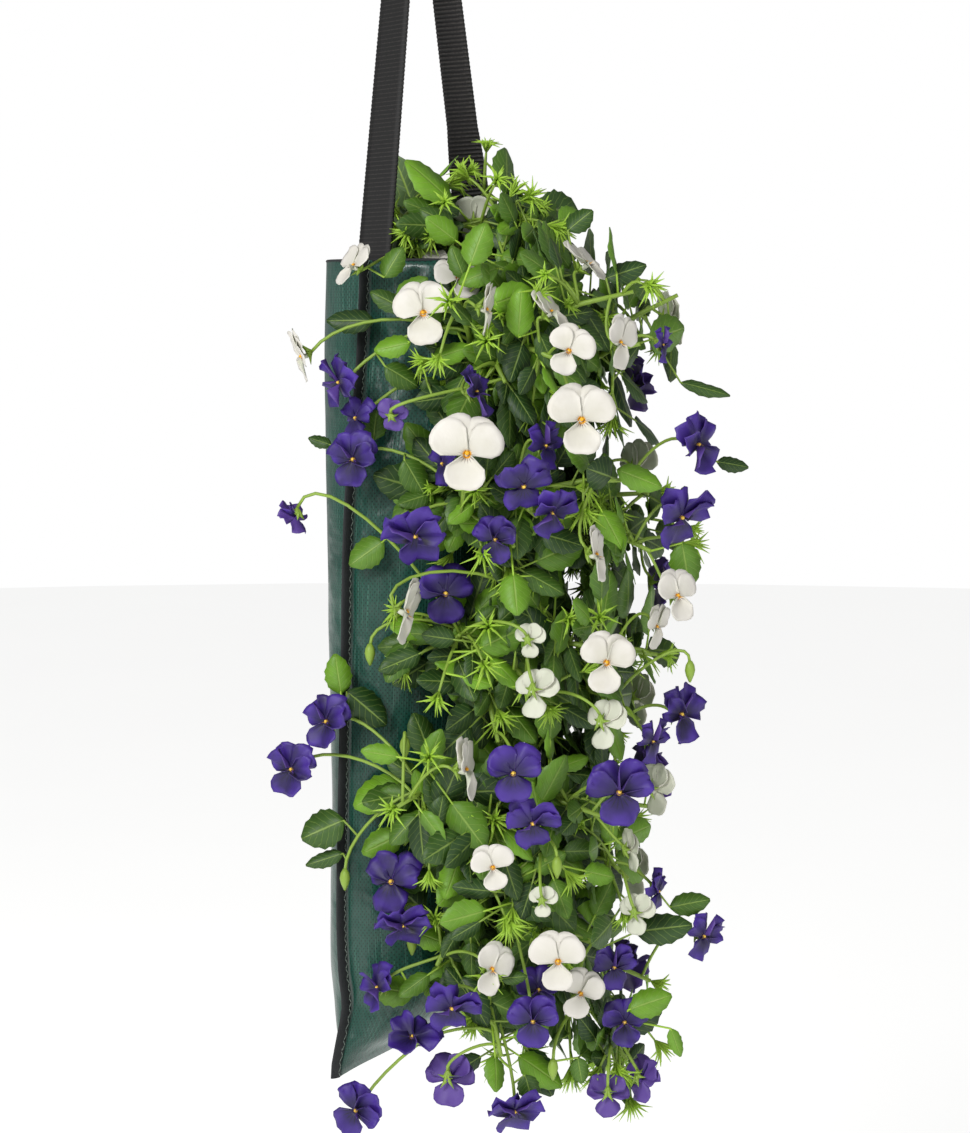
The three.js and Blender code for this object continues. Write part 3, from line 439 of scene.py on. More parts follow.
VIOLET_BLOOMS = blooms_of(Tint.VIOLET, (
    (337, 383, 84, -65, -20, 40, 28), (354, 418, 82, -50, 10, 0, 24), (352, 460, 88, -30, -10, 0, 30),
    (393, 415, 100, 165, 15, 0, 18), (295, 518, 84, -130, -45, 0, 20), (478, 392, 122, 72, 10, 0, 29),
    (441, 464, 104, -60, 0, 0, 24), (547, 446, 108, 60, 10, 0, 26), (524, 488, 136, 10, -35, 0, 31),
    (553, 514, 122, 30, -45, 10, 28), (495, 540, 116, -20, -10, 0, 26), (415, 538, 112, -10, -50, -8, 36),
    (446, 594, 92, 10, 5, 0, 32), (700, 445, 74, 55, -5, -15, 33), (683, 519, 80, 45, -35, 0, 37),
    (325, 722, 88, -40, 5, 0, 30), (290, 770, 84, -35, -5, 10, 30), (513, 774, 138, -10, 0, 0, 31),
    (533, 825, 128, 5, -30, 0, 30), (620, 793, 116, 15, 0, 0, 36), (683, 715, 74, 45, -5, 0, 33),
    (654, 742, 92, 60, -10, 0, 25), (390, 882, 98, -30, 10, 0, 34), (403, 927, 104, 0, -55, 0, 32),
    (664, 345, 66, 75, 0, 0, 20), (660, 892, 66, 65, -10, 0, 24), (705, 937, 62, 50, -10, 20, 27),
    (376, 988, 94, -60, 0, -15, 27), (452, 1010, 116, 10, -40, 10, 32), (412, 1036, 104, -15, 50, 25, 30),
    (450, 1080, 102, 165, -25, 0, 29), (533, 1022, 118, 0, 5, 0, 28), (539, 990, 96, 15, 10, 0, 26),
    (615, 968, 92, 30, 0, 0, 25), (625, 1023, 96, 10, -5, 0, 26), (608, 1096, 96, 175, -35, 0, 23),
    (643, 1080, 84, 120, -30, 0, 25), (355, 1111, 92, -20, 0, 35, 30), (515, 1113, 104, 10, -50, 0, 32),
), own=(0, 2, 5, 8, 9, 10, 11, 12, 13, 14, 15, 16, 17, 18, 19, 20, 22, 23, 26, 28, 29, 31, 34, 37))

FAR_WHITE_BLOOMS = blooms_of(Tint.WHITE, (
    (672, 318, 2, 110, 10, 0, 30), (640, 470, -24, 125, 0, 12, 33),
    (640, 700, -22, 120, -10, -10, 31), (632, 870, -20, 125, 0, 0, 32),
), own=())

FAR_VIOLET_BLOOMS = blooms_of(Tint.VIOLET, (
    (638, 385, -26, 125, 5, -15, 32), (660, 585, -6, 112, -10, 0, 32),
    (654, 772, -4, 110, 5, 10, 33), (630, 968, -18, 120, -15, 0, 30),
), own=())

BLOOMS = WHITE_BLOOMS + VIOLET_BLOOMS + FAR_WHITE_BLOOMS + FAR_VIOLET_BLOOMS
BUDS = [
    Bud(370, 655, 86), Bud(405, 748, 108), Bud(690, 672, 76), Bud(345, 880, 86),
    Bud(412, 945, 84), Bud(557, 868, 118), Bud(553, 1070, 108),
]


# Room: oriented boxes that keep blooms, stems and leaves clear of each other

@dataclass(frozen=True)
class Box:
    """A box by its middle, its directions and its half sizes."""

    centre: Point
    axes: Point
    halves: Point

    @property
    def radius(self) -> float:
        """The radius of the ball round it."""
        return length_of(self.halves)

    def touches(self, other: "Box") -> bool:
        """Returns True unless some direction parts the two boxes."""
        between = other.centre - self.centre
        squares = np.cross(self.axes[:, None, :], other.axes[None, :, :]).reshape(9, 3)
        sizes = np.einsum("ij,ij->i", squares, squares)
        squares = squares[sizes > 1e-6] / np.sqrt(sizes[sizes > 1e-6])[:, None]
        directions = np.concatenate((self.axes, other.axes, squares))
        reach = np.abs(directions @ self.axes.T) @ self.halves
        reach = reach + np.abs(directions @ other.axes.T) @ other.halves
        return bool(np.all(np.abs(directions @ between) <= reach))


def box_at(centre: Point, axes: Sequence[Point], halves: Sequence[float]) -> Box:
    """Returns a box."""
    return Box(centre, np.array(axes), np.array(halves, dtype=float))


def rod_box(start: Point, end: Point, radius: float) -> Box:
    """Returns the box round a straight rod."""
    along = unit(end - start)
    across = sideways_of(along)
    halves = (length_of(end - start) / 2 + radius, radius, radius)
    return box_at((start + end) / 2, (along, across, cross(along, across)), halves)


def rods_along(points: Sequence[Point], radius: float) -> list[Box]:
    """Returns the boxes round a stem's straight steps."""
    return [rod_box(a, b, radius) for a, b in zip(points, points[1:])]


@dataclass(eq=False)
class Stem:
    """One stem of a plant, and the places on it from which flower stalks may grow."""

    points: list[Point]
    rods: list[Box]
    nodes: list[Point]
    used: list[bool]


@dataclass(eq=False)
class Stalk:
    """A flower stalk, from its stem to the bloom or bud that it carries."""

    owner: object
    corners: list[Point]
    base: Point


@dataclass(eq=False)
class Tuft:
    """A tuft of finger-like stipules round a stem's tip."""

    at: Point
    ahead: Point
    across: Point
    reach: float
    spin: float


@dataclass(eq=False)
class Leaf:
    """One leaf: where its petiole starts, where its blade starts, its directions and its sizes."""

    root: Point
    base: Point
    along: Point
    wide: Point
    normal: Point
    petiole: float
    length: float
    width: float
    boxes: list[Box]


@dataclass(eq=False)
class Plant:
    """One violet plant, growing out of its hole."""

    number: int
    at: Point
    outward: Point
    row: int
    draw: Draws
    stems: list[Stem] = field(default_factory=list)
    stalks: list[Stalk] = field(default_factory=list)
    tufts: list[Tuft] = field(default_factory=list)
    leaves: list[Leaf] = field(default_factory=list)


class Room:
    """The boxes that are taken up so far, each with who owns it."""

    most = 8192

    def __init__(self) -> None:
        """Starts with no box."""
        self.boxes: list[Box] = []
        self.owners: list[object] = []
        self.stems: list[Optional[Stem]] = []
        self.centres = np.zeros((self.most, 3))
        self.radii = np.zeros(self.most)

    def take(self, box: Box, owner: object, stem: Optional[Stem] = None) -> None:
        """Takes up a box.

        Args:
            box: The box.
            owner: Who owns it; None for the strap.
            stem: The stem that it is part of, if any.
        """
        count = len(self.boxes)
        self.centres[count] = box.centre
        self.radii[count] = box.radius
        self.boxes.append(box)
        self.owners.append(owner)
        self.stems.append(stem)

    def of_flower_or_strap(self, index: int) -> bool:
        """Tells whether a box is a bloom's, a bud's or the strap's."""
        return self.owners[index] is None or isinstance(self.owners[index], (Bloom, Bud))

    def blocks(self, box: Box, counts: Callable[[int], bool] = lambda index: True) -> bool:
        """Tells whether a new box touches one that is taken up.

        Args:
            box: The new box.
            counts: Says by its number whether a box that is taken up counts.

        Returns:
            True where it touches one that counts.
        """
        used = len(self.boxes)
        apart = self.centres[:used] - box.centre
        reach = self.radii[:used] + box.radius
        near = np.nonzero(np.einsum("ij,ij->i", apart, apart) <= reach * reach)[0]
        return any(counts(index) and box.touches(self.boxes[index]) for index in near)


def curve_points(corners: Sequence[Point], steps: int) -> list[Point]:
    """Returns points along the curve that three or four corners guide.

    Args:
        corners: The corners.
        steps: How many steps it is cut into.

    Returns:
        One point more than there are steps.
    """
    points = []
    for step in range(steps + 1):
        share = step / steps
        left = 1 - share
        if len(corners) == 3:
            weights = (left * left, 2 * left * share, share * share)
        else:
            weights = (left ** 3, 3 * left * left * share, 3 * left * share * share, share ** 3)
        points.append(sum(corner * weight for corner, weight in zip(corners, weights)))
    return points


def along_steps(points: Sequence[Point], share: float) -> Point:
    """Returns the point on a stem's straight steps at a share of the way along it.

    Args:
        points: The stem's points.
        share: The share, from 0 to 1.

    Returns:
        The point.
    """
    reach = min(share, 0.9999) * (len(points) - 1)
    step = math.floor(reach)
    return points[step] + (points[step + 1] - points[step]) * (reach - step)


# How the plants grow

@dataclass
class Planting:
    """Sets out stems, stalks, tufts and leaves by the rule that the solids follow."""

    hole_rows: int = 5
    hole_across: float = 30
    first_hole_down: float = 0.13
    hole_pitch_down: float = 0.178
    right_column_drop: float = 0.045
    crown_radius: float = 3.2
    crown_rise: float = 7
    stem_radius: float = 1.9
    stem_steps: int = 3
    stem_tries: int = 16
    stem_jitter: tuple[float, float] = (16, 24)
    stem_bulge: float = 8
    stem_arch: tuple[float, float] = (14, 8)
    stalk_radius: float = 0.95
    stalk_steps: int = 3
    stalk_reach: tuple[float, float] = (18, 125)
    stalk_lifts: tuple[float, ...] = (0.25, 0.5, 0)
    stalk_places: tuple[float, ...] = (0.26, 0.36, 0.46, 0.56, 0.66, 0.76, 0.86, 0.93)
    leaf_tries: int = 24
    leaf_places: tuple[float, ...] = (0.9, 0.74, 0.58, 0.42, 0.3)
    leaves_per_plant: int = 13
    bloom_halves: tuple[float, float, float] = (17.6, 18.3, 3.4)
    bud_halves: tuple[float, float, float] = (4, 4, 7)
    tuft_reach: float = 15
    tufts_per_plant: int = 2
    left_trail: tuple[float, ...] = (62, 34, 26, 74, 36)
    left_lift: tuple[float, ...] = (26, 6, 0, -4, -14)
    right_lift: tuple[float, ...] = (44, 14, 4, -2, -22)
    room: Room = field(default_factory=Room)
    plants: list[Plant] = field(default_factory=list)

    def grow(self, strap_middle: Sequence[Point], strap_width: float) -> None:
        """Sets out every plant, stalk, tuft and leaf, each clear of what is there before it.

        Args:
            strap_middle: The strap's middle line.
            strap_width: The strap's width.
        """
        for bloom in BLOOMS:
            place = bloom.frame
            halves = np.array(self.bloom_halves) * place.scale
            axes = (place.right, place.up, place.facing)
            self.room.take(box_at(place.at(0, -0.3, 0.2), axes, halves), bloom)
        for bud in BUDS:
            self.room.take(box_at(bud.centre, np.eye(3), self.bud_halves), bud)
        for box in rods_along(strap_middle, strap_width / 2):
            self.room.take(box, None)
        self.plants = [self.rooted(index, *hole) for index, hole in enumerate(self.holes())]
        for plant in self.plants:
            self.add_tufts(plant)
        for bloom in BLOOMS:
            self.add_stalk(bloom, bloom.base, bloom.frame.facing)
        for bud in BUDS:
            self.add_stalk(bud, bud.base, -UP)
        for plant in self.plants:
            self.add_leaves(plant)

    def holes(self) -> list[tuple[Point, Point, int, int]]:
        """Returns each hole's place, outward direction, row and side. The top two are in the mouth."""
        holes = []
        for row in range(self.hole_rows):
            for side in (-1, 1):
                drop = self.right_column_drop if side > 0 else 0
                down = self.first_hole_down + self.hole_pitch_down * row + drop
                half_width, half_depth = BAG.section(down)
                x = side * self.hole_across
                y = -half_depth * math.sqrt(1 - (x / half_width) ** 2)
                outward = unit(vector(x / half_width ** 2, y / half_depth ** 2, 0))
                holes.append((vector(x, y, BAG.rim_z - BAG.height * down), outward, row, side))
        holes.append((vector(-16, -18, BAG.soil_top_z), UP, -1, -1))
        holes.append((vector(24, 4, BAG.soil_top_z), UP, -1, 1))
        return holes

    def reaches(self, row: int, side: int) -> list[tuple[float, float, float]]:
        """Returns how far each stem of a plant reaches from its hole.

        Args:
            row: The hole's row, or -1 in the mouth.
            side: -1 on the left and 1 on the right.

        Returns:
            Each stem's reach aside, outward and up.
        """
        if row < 0 and side < 0:
            return [(-22, -26, 40), (8, -46, 52), (4, 30, 48), (-16, 16, 44)]
        if row < 0:
            return [(-2, -44, 60), (32, -26, 54), (16, 30, 46), (-4, 8, 60)]
        if side < 0:
            lift = self.left_lift[row]
            trail = (-self.left_trail[row], -22, lift + 6)
            return [trail, (-18, -74, lift - 12), (18, -98, lift + 14), (-34, -50, lift - 30)]
        lift = self.right_lift[row]
        return [(-10, -98, lift - 14), (36, -82, lift + 12), (66, -46, lift - 6), (44, -20, lift + 20)]

    def rooted(self, index: int, at: Point, outward: Point, row: int, side: int) -> Plant:
        """Grows a plant's stems.

        Args:
            index: The plant's place in the list.
            at: Its hole's middle.
            outward: The direction out of the hole.
            row: The hole's row, or -1 in the mouth.
            side: The hole's side of the bag.

        Returns:
            The plant with its stems.
        """
        plant = Plant(index + 1, at, outward, row, Draws(7 + 31 * index))
        draw = plant.draw
        start = at + outward * (self.crown_rise - 2)
        across, rise = self.stem_jitter
        for reach in self.reaches(row, side):
            for _ in range(self.stem_tries):
                end = at + vector(*reach)
                end[0] += across * (draw() - 0.5)
                end[1] += across * (draw() - 0.5)
                end[2] += rise * (draw() - 0.5)
                middle = start + (end - start) * 0.45 + outward * self.stem_bulge
                middle[2] += self.stem_arch[0] + self.stem_arch[1] * draw()
                apart = end - at
                apart = unit(apart - outward * (apart @ outward)) * (self.crown_radius / 2)
                points = curve_points((start + apart, middle, end), self.stem_steps)
                rods = rods_along(points, self.stem_radius + 0.5)
                owners = self.room.owners
                blocked = any(self.room.blocks(rod, lambda i: owners[i] is not plant) for rod in rods)
                if blocked or any(BAG.contains(point, 4) for point in points[1:]):
                    continue
                nodes = [along_steps(points, share) for share in self.stalk_places]
                plant.stems.append(Stem(points, rods, nodes, [False] * len(nodes)))
                break
        for stem in plant.stems:
            for box in stem.rods:
                self.room.take(box, plant, stem)
        return plant

    def add_tufts(self, plant: Plant) -> None:
        """Sets a tuft of stipules round the tips of a plant's first stems."""
        for index, stem in enumerate(plant.stems):
            at = along_steps(stem.points, 1)
            ahead = unit(at - stem.points[self.stem_steps - 1])
            across = sideways_of(ahead)
            reach = self.tuft_reach * (0.9 + 0.25 * plant.draw())
            spin = plant.draw()
            middle = at + ahead * (0.4 * reach)
            halves = (0.45 * reach, 0.85 * reach, 0.85 * reach)
            box = box_at(middle, (ahead, across, cross(ahead, across)), halves)
            stems = self.room.stems
            blocked = self.room.blocks(box, lambda i: stems[i] is not stem)
            if blocked or BAG.contains(middle, 0.6 * reach) or index >= self.tufts_per_plant:
                continue
            self.room.take(box, plant)
            plant.tufts.append(Tuft(at, ahead, across, reach, spin))

    def add_stalk(self, owner: object, base: Point, facing: Point) -> None:
        """Grows the stalk of a bloom or bud from the nearest free place on a stem.

        Args:
            owner: The bloom or bud.
            base: Where the stalk meets it.
            facing: The way that the stalk points there.
        """
        starts = [
            (length_of(stem.nodes[k] - base), plant, stem, k)
            for plant in self.plants for stem in plant.stems for k in range(len(stem.nodes))
        ]
        starts.sort(key=lambda start: start[0])
        least, most = self.stalk_reach
        owners = self.room.owners
        for span, plant, stem, k in starts:
            if stem.used[k] or span < least or span > most:
                continue
            own_bud = owner if isinstance(owner, Bud) else plant
            for lift in self.stalk_lifts:
                leave = stem.nodes[k] + (base - stem.nodes[k]) * 0.3
                leave[2] += lift * span
                arrive = base + facing * (-0.12 * span - 4)
                arrive[2] += 0.12 * span + 2
                corners = [stem.nodes[k], leave, arrive, base]
                points = curve_points(corners, self.stalk_steps)
                rods = rods_along(points, self.stalk_radius + 0.7)
                blocked = any(
                    self.room.blocks(rod, lambda i: owners[i] is not plant and owners[i] is not own_bud)
                    for rod in rods
                )
                if blocked or any(BAG.contains(point, 2) for point in points[1:]):
                    continue
                stem.used[k] = True
                plant.stalks.append(Stalk(owner, corners, base))
                for box in rods:
                    self.room.take(box, plant)
                return
        LOG.warning("no stalk for the flower at %s, %s", owner.col, owner.row)

    def add_leaves(self, plant: Plant) -> None:
        """Sets out a plant's leaves where there is room.

        Args:
            plant: The plant.
        """
        draw = plant.draw
        stems = self.room.stems
        for stem in plant.stems:
            for place in self.leaf_places:
                for _ in range(self.leaf_tries):
                    if len(plant.leaves) >= self.leaves_per_plant:
                        break
                    root = along_steps(stem.points, place + 0.05 * (draw() - 0.5))
                    leaf = drawn_leaf(root, draw)
                    petiole, blade = leaf.boxes
                    if self.room.blocks(petiole, lambda i: stems[i] is not stem):
                        continue
                    if self.room.blocks(blade) or in_bag(leaf, 5):
                        continue
                    plant.leaves.append(leaf)
                    for box in leaf.boxes:
                        self.room.take(box, plant)
                    break


def drawn_leaf(root: Point, draw: Draws, size: float = 1, slim: float = 0.72) -> Leaf:
    """Draws a leaf that turns its face up and outward.

    Args:
        root: Where its petiole starts.
        draw: The draws.
        size: Its size beside a full-grown leaf.
        slim: Its width as a share of its length.

    Returns:
        The leaf.
    """
    outward = unit(vector(root[0], root[1] + 10, 22))
    level = unit(cross(UP, outward))
    rising = cross(outward, level)
    turn = 2 * math.pi * draw()
    petiole = (11 + 15 * draw()) * size
    length = (25 + 11 * draw()) * size
    lean = -0.1 + 0.55 * draw()
    roll = 1.1 * (draw() - 0.5)
    along = unit(turned(level, rising, turn) + outward * lean)
    flat = unit(outward - along * (outward @ along))
    normal = turned(flat, cross(along, flat), roll)
    wide = cross(along, normal)
    base = root + along * petiole
    width = length * slim
    middle = base + along * (length / 2) + normal * -1.8
    halves = (length / 2 + 0.8, width / 2 + 0.6, 2.9)
    boxes = [rod_box(root, base, 1.2), box_at(middle, (along, wide, normal), halves)]
    return Leaf(root, base, along, wide, normal, petiole, length, width, boxes)


def in_bag(leaf: Leaf, margin: float) -> bool:
    """Tells whether a leaf's blade comes nearer to the bag than the margin.

    Args:
        leaf: The leaf.
        margin: The margin.

    Returns:
        True where it does.
    """
    for share in (0, 0.5, 1):
        for side in (-0.5, 0, 0.5):
            point = leaf.base + leaf.along * (share * leaf.length) + leaf.wide * (side * leaf.width)
            if BAG.contains(point, margin):
                return True
    return False


# Meshes

class Shape:
    """One piece's mesh, gathered from cut shapes that are set in place one by one."""

    def __init__(self, sheet: Optional[bmesh.types.BMesh] = None) -> None:
        """Starts with no face, or with a sheet.

        Args:
            sheet: The sheet, whose faces are turned outward.
        """
        if sheet is not None:
            self.bm = sheet
            bmesh.ops.recalc_face_normals(sheet, faces=sheet.faces[:])
            return
        self.bm = bmesh.new()
        self.bm.loops.layers.uv.new("UVMap")
        for name in ("tint", "kind", "back"):
            self.bm.verts.layers.float.new(name)

    def add(self, template: bpy.types.Mesh, matrix: Matrix, tint: float = 0.5) -> None:
        """Adds a copy of a cut shape.

        Args:
            template: The cut shape, in millimetres.
            matrix: Where it goes.
            tint: Its own shade, from 0 to 1.
        """
        copy = template.copy()
        copy.transform(matrix)
        copy.attributes["tint"].data.foreach_set("value", np.full(len(copy.vertices), tint))
        self.bm.from_mesh(copy)
        bpy.data.meshes.remove(copy)

    def take_in(self, bm: bmesh.types.BMesh) -> None:
        """Adds another shape where it stands, and frees it."""
        part = as_mesh(bm, "part")
        self.bm.from_mesh(part)
        bpy.data.meshes.remove(part)

    def bent_rod(self, path: Sequence[Point], radii: Sequence[float], sides: int = 6,
                 tint: float = 0.2) -> None:
        """Adds a round rod bent along a path.

        Args:
            path: The rod's middle line.
            radii: Its radius at each point of the path.
            sides: How many sides it has.
            tint: Its own shade, from 0 to 1.
        """
        copy = straight_rod(len(path) - 1, sides).copy()
        places = np.zeros(len(copy.vertices) * 3)
        copy.vertices.foreach_get("co", places)
        places = places.reshape(-1, 3)
        rings = np.rint(places[:, 2] + (len(path) - 1) / 2).astype(int)
        aheads = [unit(path[min(i + 1, len(path) - 1)] - path[max(i - 1, 0)]) for i in range(len(path))]
        across = sideways_of(aheads[0])
        axes = []
        for ahead in aheads:
            across = unit(across - ahead * (across @ ahead))
            axes.append((across, cross(ahead, across)))
        spots, pairs = np.array(path), np.array(axes)
        reach = np.array(radii)[rings][:, None]
        moved = spots[rings] + pairs[rings, 0] * places[:, :1] * reach
        moved = moved + pairs[rings, 1] * places[:, 1:2] * reach
        copy.vertices.foreach_set("co", ((moved - HOOK) * MM).ravel())
        copy.attributes["tint"].data.foreach_set("value", np.full(len(copy.vertices), tint))
        self.bm.from_mesh(copy)
        bpy.data.meshes.remove(copy)

    def finish(self, name: str, material: Material, slot: str,
               replaced: Sequence[str] = ()) -> bpy.types.Object:
        """Makes the piece.

        Args:
            name: Its name.
            material: Its finish.
            slot: Not used.
            replaced: The solids that it stands for.

        Returns:
            The piece.
        """
        mesh = bpy.data.meshes.new(name)
        for face in self.bm.faces:
            face.smooth = True
        self.bm.to_mesh(mesh)
        self.bm.free()
        mesh.materials.append(material)
        piece = bpy.data.objects.new(name, mesh)
        bpy.context.scene.collection.objects.link(piece)
        if replaced:
            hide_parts(*replaced)
        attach(piece, "root")
        LOG.info("%s: %d faces", name, len(mesh.polygons))
        return piece


def as_mesh(bm: bmesh.types.BMesh, name: str) -> bpy.types.Mesh:
    """Returns the shape as a mesh, with its faces turned outward.

    Args:
        bm: The shape, which is freed.
        name: The mesh's name.

    Returns:
        The mesh.
    """
    bmesh.ops.recalc_face_normals(bm, faces=bm.faces[:])
    mesh = bpy.data.meshes.new(name)
    bm.to_mesh(mesh)
    bm.free()
    return mesh


@lru_cache(maxsize=None)
def straight_rod(steps: int, sides: int) -> bpy.types.Mesh:
    """Returns a rod of radius one, a ring at each whole height.

    Args:
        steps: Its height.
        sides: How many sides it has.

    Returns:
        The rod, its middle at the origin.
    """
    bm = Shape().bm
    bmesh.ops.create_cone(bm, cap_ends=True, cap_tris=False, segments=sides, radius1=1, radius2=1,
                          depth=steps)
    upright = [edge for edge in bm.edges if abs(edge.verts[0].co.z - edge.verts[1].co.z) > 0.5]
    if steps > 1:
        bmesh.ops.subdivide_edges(bm, edges=upright, cuts=steps - 1, use_grid_fill=True)
    kind = bm.verts.layers.float["kind"]
    for vert in bm.verts:
        vert[kind] = 1
    return as_mesh(bm, "rod")


def curved_sheet(columns: int, rows: int, where: Where, thickness: float) -> bmesh.types.BMesh:
    """Bends a flat grid to a sheet with two sides and closed edges.

    Args:
        columns: Faces across.
        rows: Faces along.
        where: The place of each share across and along.
        thickness: The sheet's thickness, laid on behind.

    Returns:
        The sheet, with its shares as UV.
    """
    bm = Shape().bm
    uv, back = bm.loops.layers.uv["UVMap"], bm.verts.layers.float["back"]
    bmesh.ops.create_grid(bm, x_segments=columns, y_segments=rows, size=1)
    for face in bm.faces:
        for loop in face.loops:
            loop[uv].uv = ((loop.vert.co.x + 1) / 2, (loop.vert.co.y + 1) / 2)
    for vert in bm.verts:
        vert.co = where((vert.co.x + 1) / 2, (vert.co.y + 1) / 2)
    bm.normal_update()
    fronts = set(bm.verts)
    bmesh.ops.solidify(bm, geom=bm.faces[:], thickness=thickness)
    for vert in bm.verts:
        vert[back] = 0 if vert in fronts else 1
    return bm


# Materials

def linear(code: str) -> tuple[float, float, float, float]:
    """Returns the colour of a six-figure sRGB code."""
    parts = [int(code[i:i + 2], 16) / 255 for i in (0, 2, 4)]
    return (*(v / 12.92 if v <= 0.04045 else ((v + 0.055) / 1.055) ** 2.4 for v in parts), 1)


class Graph:
    """Adds and joins the nodes of a material or of a node group."""

    def __init__(self, tree: Tree) -> None:
        """Starts on a node tree."""
        self.tree = tree

    def add(self, kind: str, inputs: dict, **settings: object) -> bpy.types.Node:
        """Adds a node.

        Args:
            kind: Its type.
            inputs: Its inputs by name or number, each a value or another node's output.
            settings: Its other settings.

        Returns:
            The node.
        """
        node = self.tree.nodes.new(kind)
        for name, value in settings.items():
            setattr(node, name, value)
        for key, value in inputs.items():
            if isinstance(value, Socket):
                self.tree.links.new(value, node.inputs[key])
            else:
                node.inputs[key].default_value = value
        return node

    def join(self, output: Socket, socket: Socket) -> None:
        """Joins an output to an input."""
        self.tree.links.new(output, socket)

    def maths(self, operation: str, a: object, b: object = 0.0) -> Socket:
        """Returns the result of a sum on two values."""
        return self.add("ShaderNodeMath", {0: a, 1: b}, operation=operation).outputs[0]

    def times(self, a: object, b: object) -> Socket:
        """Returns the product of two values."""
        return self.maths("MULTIPLY", a, b)

    def mix(self, factor: object, a: object, b: object) -> Socket:
        """Returns the mixture of two colours, each a socket or an sRGB code."""
        a, b = (linear(side) if isinstance(side, str) else side for side in (a, b))
        return self.add("ShaderNodeMix", {0: factor, 6: a, 7: b}, data_type="RGBA").outputs[2]

    def step(self, value: object, low: float, high: float) -> Socket:
        """Returns 0 below low, 1 above high, and a smooth rise between; high may be the lower."""
        inputs = {"Value": value, "From Min": min(low, high), "From Max": max(low, high),
                  "To Min": float(low > high), "To Max": float(low < high)}
        return self.add("ShaderNodeMapRange", inputs, interpolation_type="SMOOTHSTEP").outputs[0]

    def attribute(self, name: str) -> Socket:
        """Returns a piece's own attribute."""
        return self.add("ShaderNodeAttribute", {}, attribute_name=name).outputs["Fac"]

    def noise(self, where: object, scale: float, detail: float = 3) -> Socket:
        """Returns a soft random pattern."""
        inputs = {"Vector": where, "Scale": scale, "Detail": detail}
        return self.add("ShaderNodeTexNoise", inputs).outputs["Fac"]

    def group(self, tree: Tree, inputs: dict) -> bpy.types.Node:
        """Adds a shared effect."""
        return self.add("ShaderNodeGroup", inputs, node_tree=tree)


def new_group(name: str, inputs: Sequence[str], outputs: Sequence[str]) -> tuple[Graph, dict, bpy.types.Node]:
    """Starts a shared effect.

    Args:
        name: Its name.
        inputs: The names of the vectors it reads.
        outputs: The names of the masks it gives.

    Returns:
        Its graph, its inputs by name, and the node that takes its outputs.
    """
    tree = bpy.data.node_groups.new(name, "ShaderNodeTree")
    for label in inputs:
        tree.interface.new_socket(label, in_out="INPUT", socket_type="NodeSocketVector")
    for label in outputs:
        tree.interface.new_socket(label, in_out="OUTPUT", socket_type="NodeSocketFloat")
    graph = Graph(tree)
    source = graph.add("NodeGroupInput", {})
    return graph, {label: source.outputs[label] for label in inputs}, graph.add("NodeGroupOutput", {})


def leaf_veins() -> Tree:
    """Returns the effect that marks a leaf's midrib and side veins."""
    graph, source, sink = new_group("leaf_veins", ("UV",), ("Veins",))
    parts = graph.add("ShaderNodeSeparateXYZ", {0: source["UV"]}).outputs
    aside = graph.maths("ABSOLUTE", graph.maths("SUBTRACT", parts[0], 0.5))
    midrib = graph.step(aside, 0.045, 0.012)
    run = graph.maths("SUBTRACT", parts[1], graph.times(aside, 0.55))
    wave = graph.maths("SINE", graph.times(run, 44.0))
    branches = graph.times(graph.step(wave, 0.86, 0.99), 0.45)
    graph.join(graph.maths("MAXIMUM", midrib, branches), sink.inputs["Veins"])
    return graph.tree


def petal_marks() -> Tree:
    """Returns the effect that marks a bloom's eye and the fine dark lines round it."""
    graph, source, sink = new_group("petal_marks", ("UV",), ("Radius", "Lines"))
    inputs = {0: source["UV"], 1: (0.5, 0.5, 0)}
    middle = graph.add("ShaderNodeVectorMath", inputs, operation="SUBTRACT").outputs[0]
    radius = graph.add("ShaderNodeVectorMath", {0: middle}, operation="LENGTH").outputs["Value"]
    parts = graph.add("ShaderNodeSeparateXYZ", {0: middle}).outputs
    wave = graph.maths("SINE", graph.times(graph.maths("ARCTAN2", parts[1], parts[0]), 17.0))
    below = graph.step(parts[1], 0.06, -0.03)
    graph.join(radius, sink.inputs["Radius"])
    graph.join(graph.times(graph.step(wave, 0.6, 0.98), below), sink.inputs["Lines"])
    return graph.tree


@dataclass(frozen=True)
class Finish:
    """A procedural finish: a colour pattern and a relief on one shader."""

    name: str
    roughness: float = 0.6
    coat: float = 0.0
    depth: float = 0.0004
    relief: float = 0.6

    def make(self, effect: Optional[Tree] = None) -> Material:
        """Makes the material.

        Args:
            effect: The shared effect that its pattern reads.

        Returns:
            The material.
        """
        material = bpy.data.materials.new(self.name)
        material.use_nodes = True
        graph = Graph(material.node_tree)
        shader = material.node_tree.nodes["Principled BSDF"].inputs
        shader["Roughness"].default_value = self.roughness
        shader["Coat Weight"].default_value = self.coat
        places = graph.add("ShaderNodeTexCoord", {}).outputs
        colour, height = self.pattern(graph, places["Object"], places["UV"], effect)
        graph.join(colour, shader["Base Color"])
        inputs = {"Height": height, "Distance": self.depth, "Strength": self.relief}
        graph.join(graph.add("ShaderNodeBump", inputs).outputs[0], shader["Normal"])
        return material

    def pattern(self, graph: Graph, place: Socket, uv: Socket, effect: Optional[Tree]) -> Pattern:
        """Works out the pattern.

        Args:
            graph: The material's graph.
            place: The place on the object.
            uv: The place on the piece's own map.
            effect: The shared effect.

        Returns:
            The colour and the height.
        """
        raise NotImplementedError


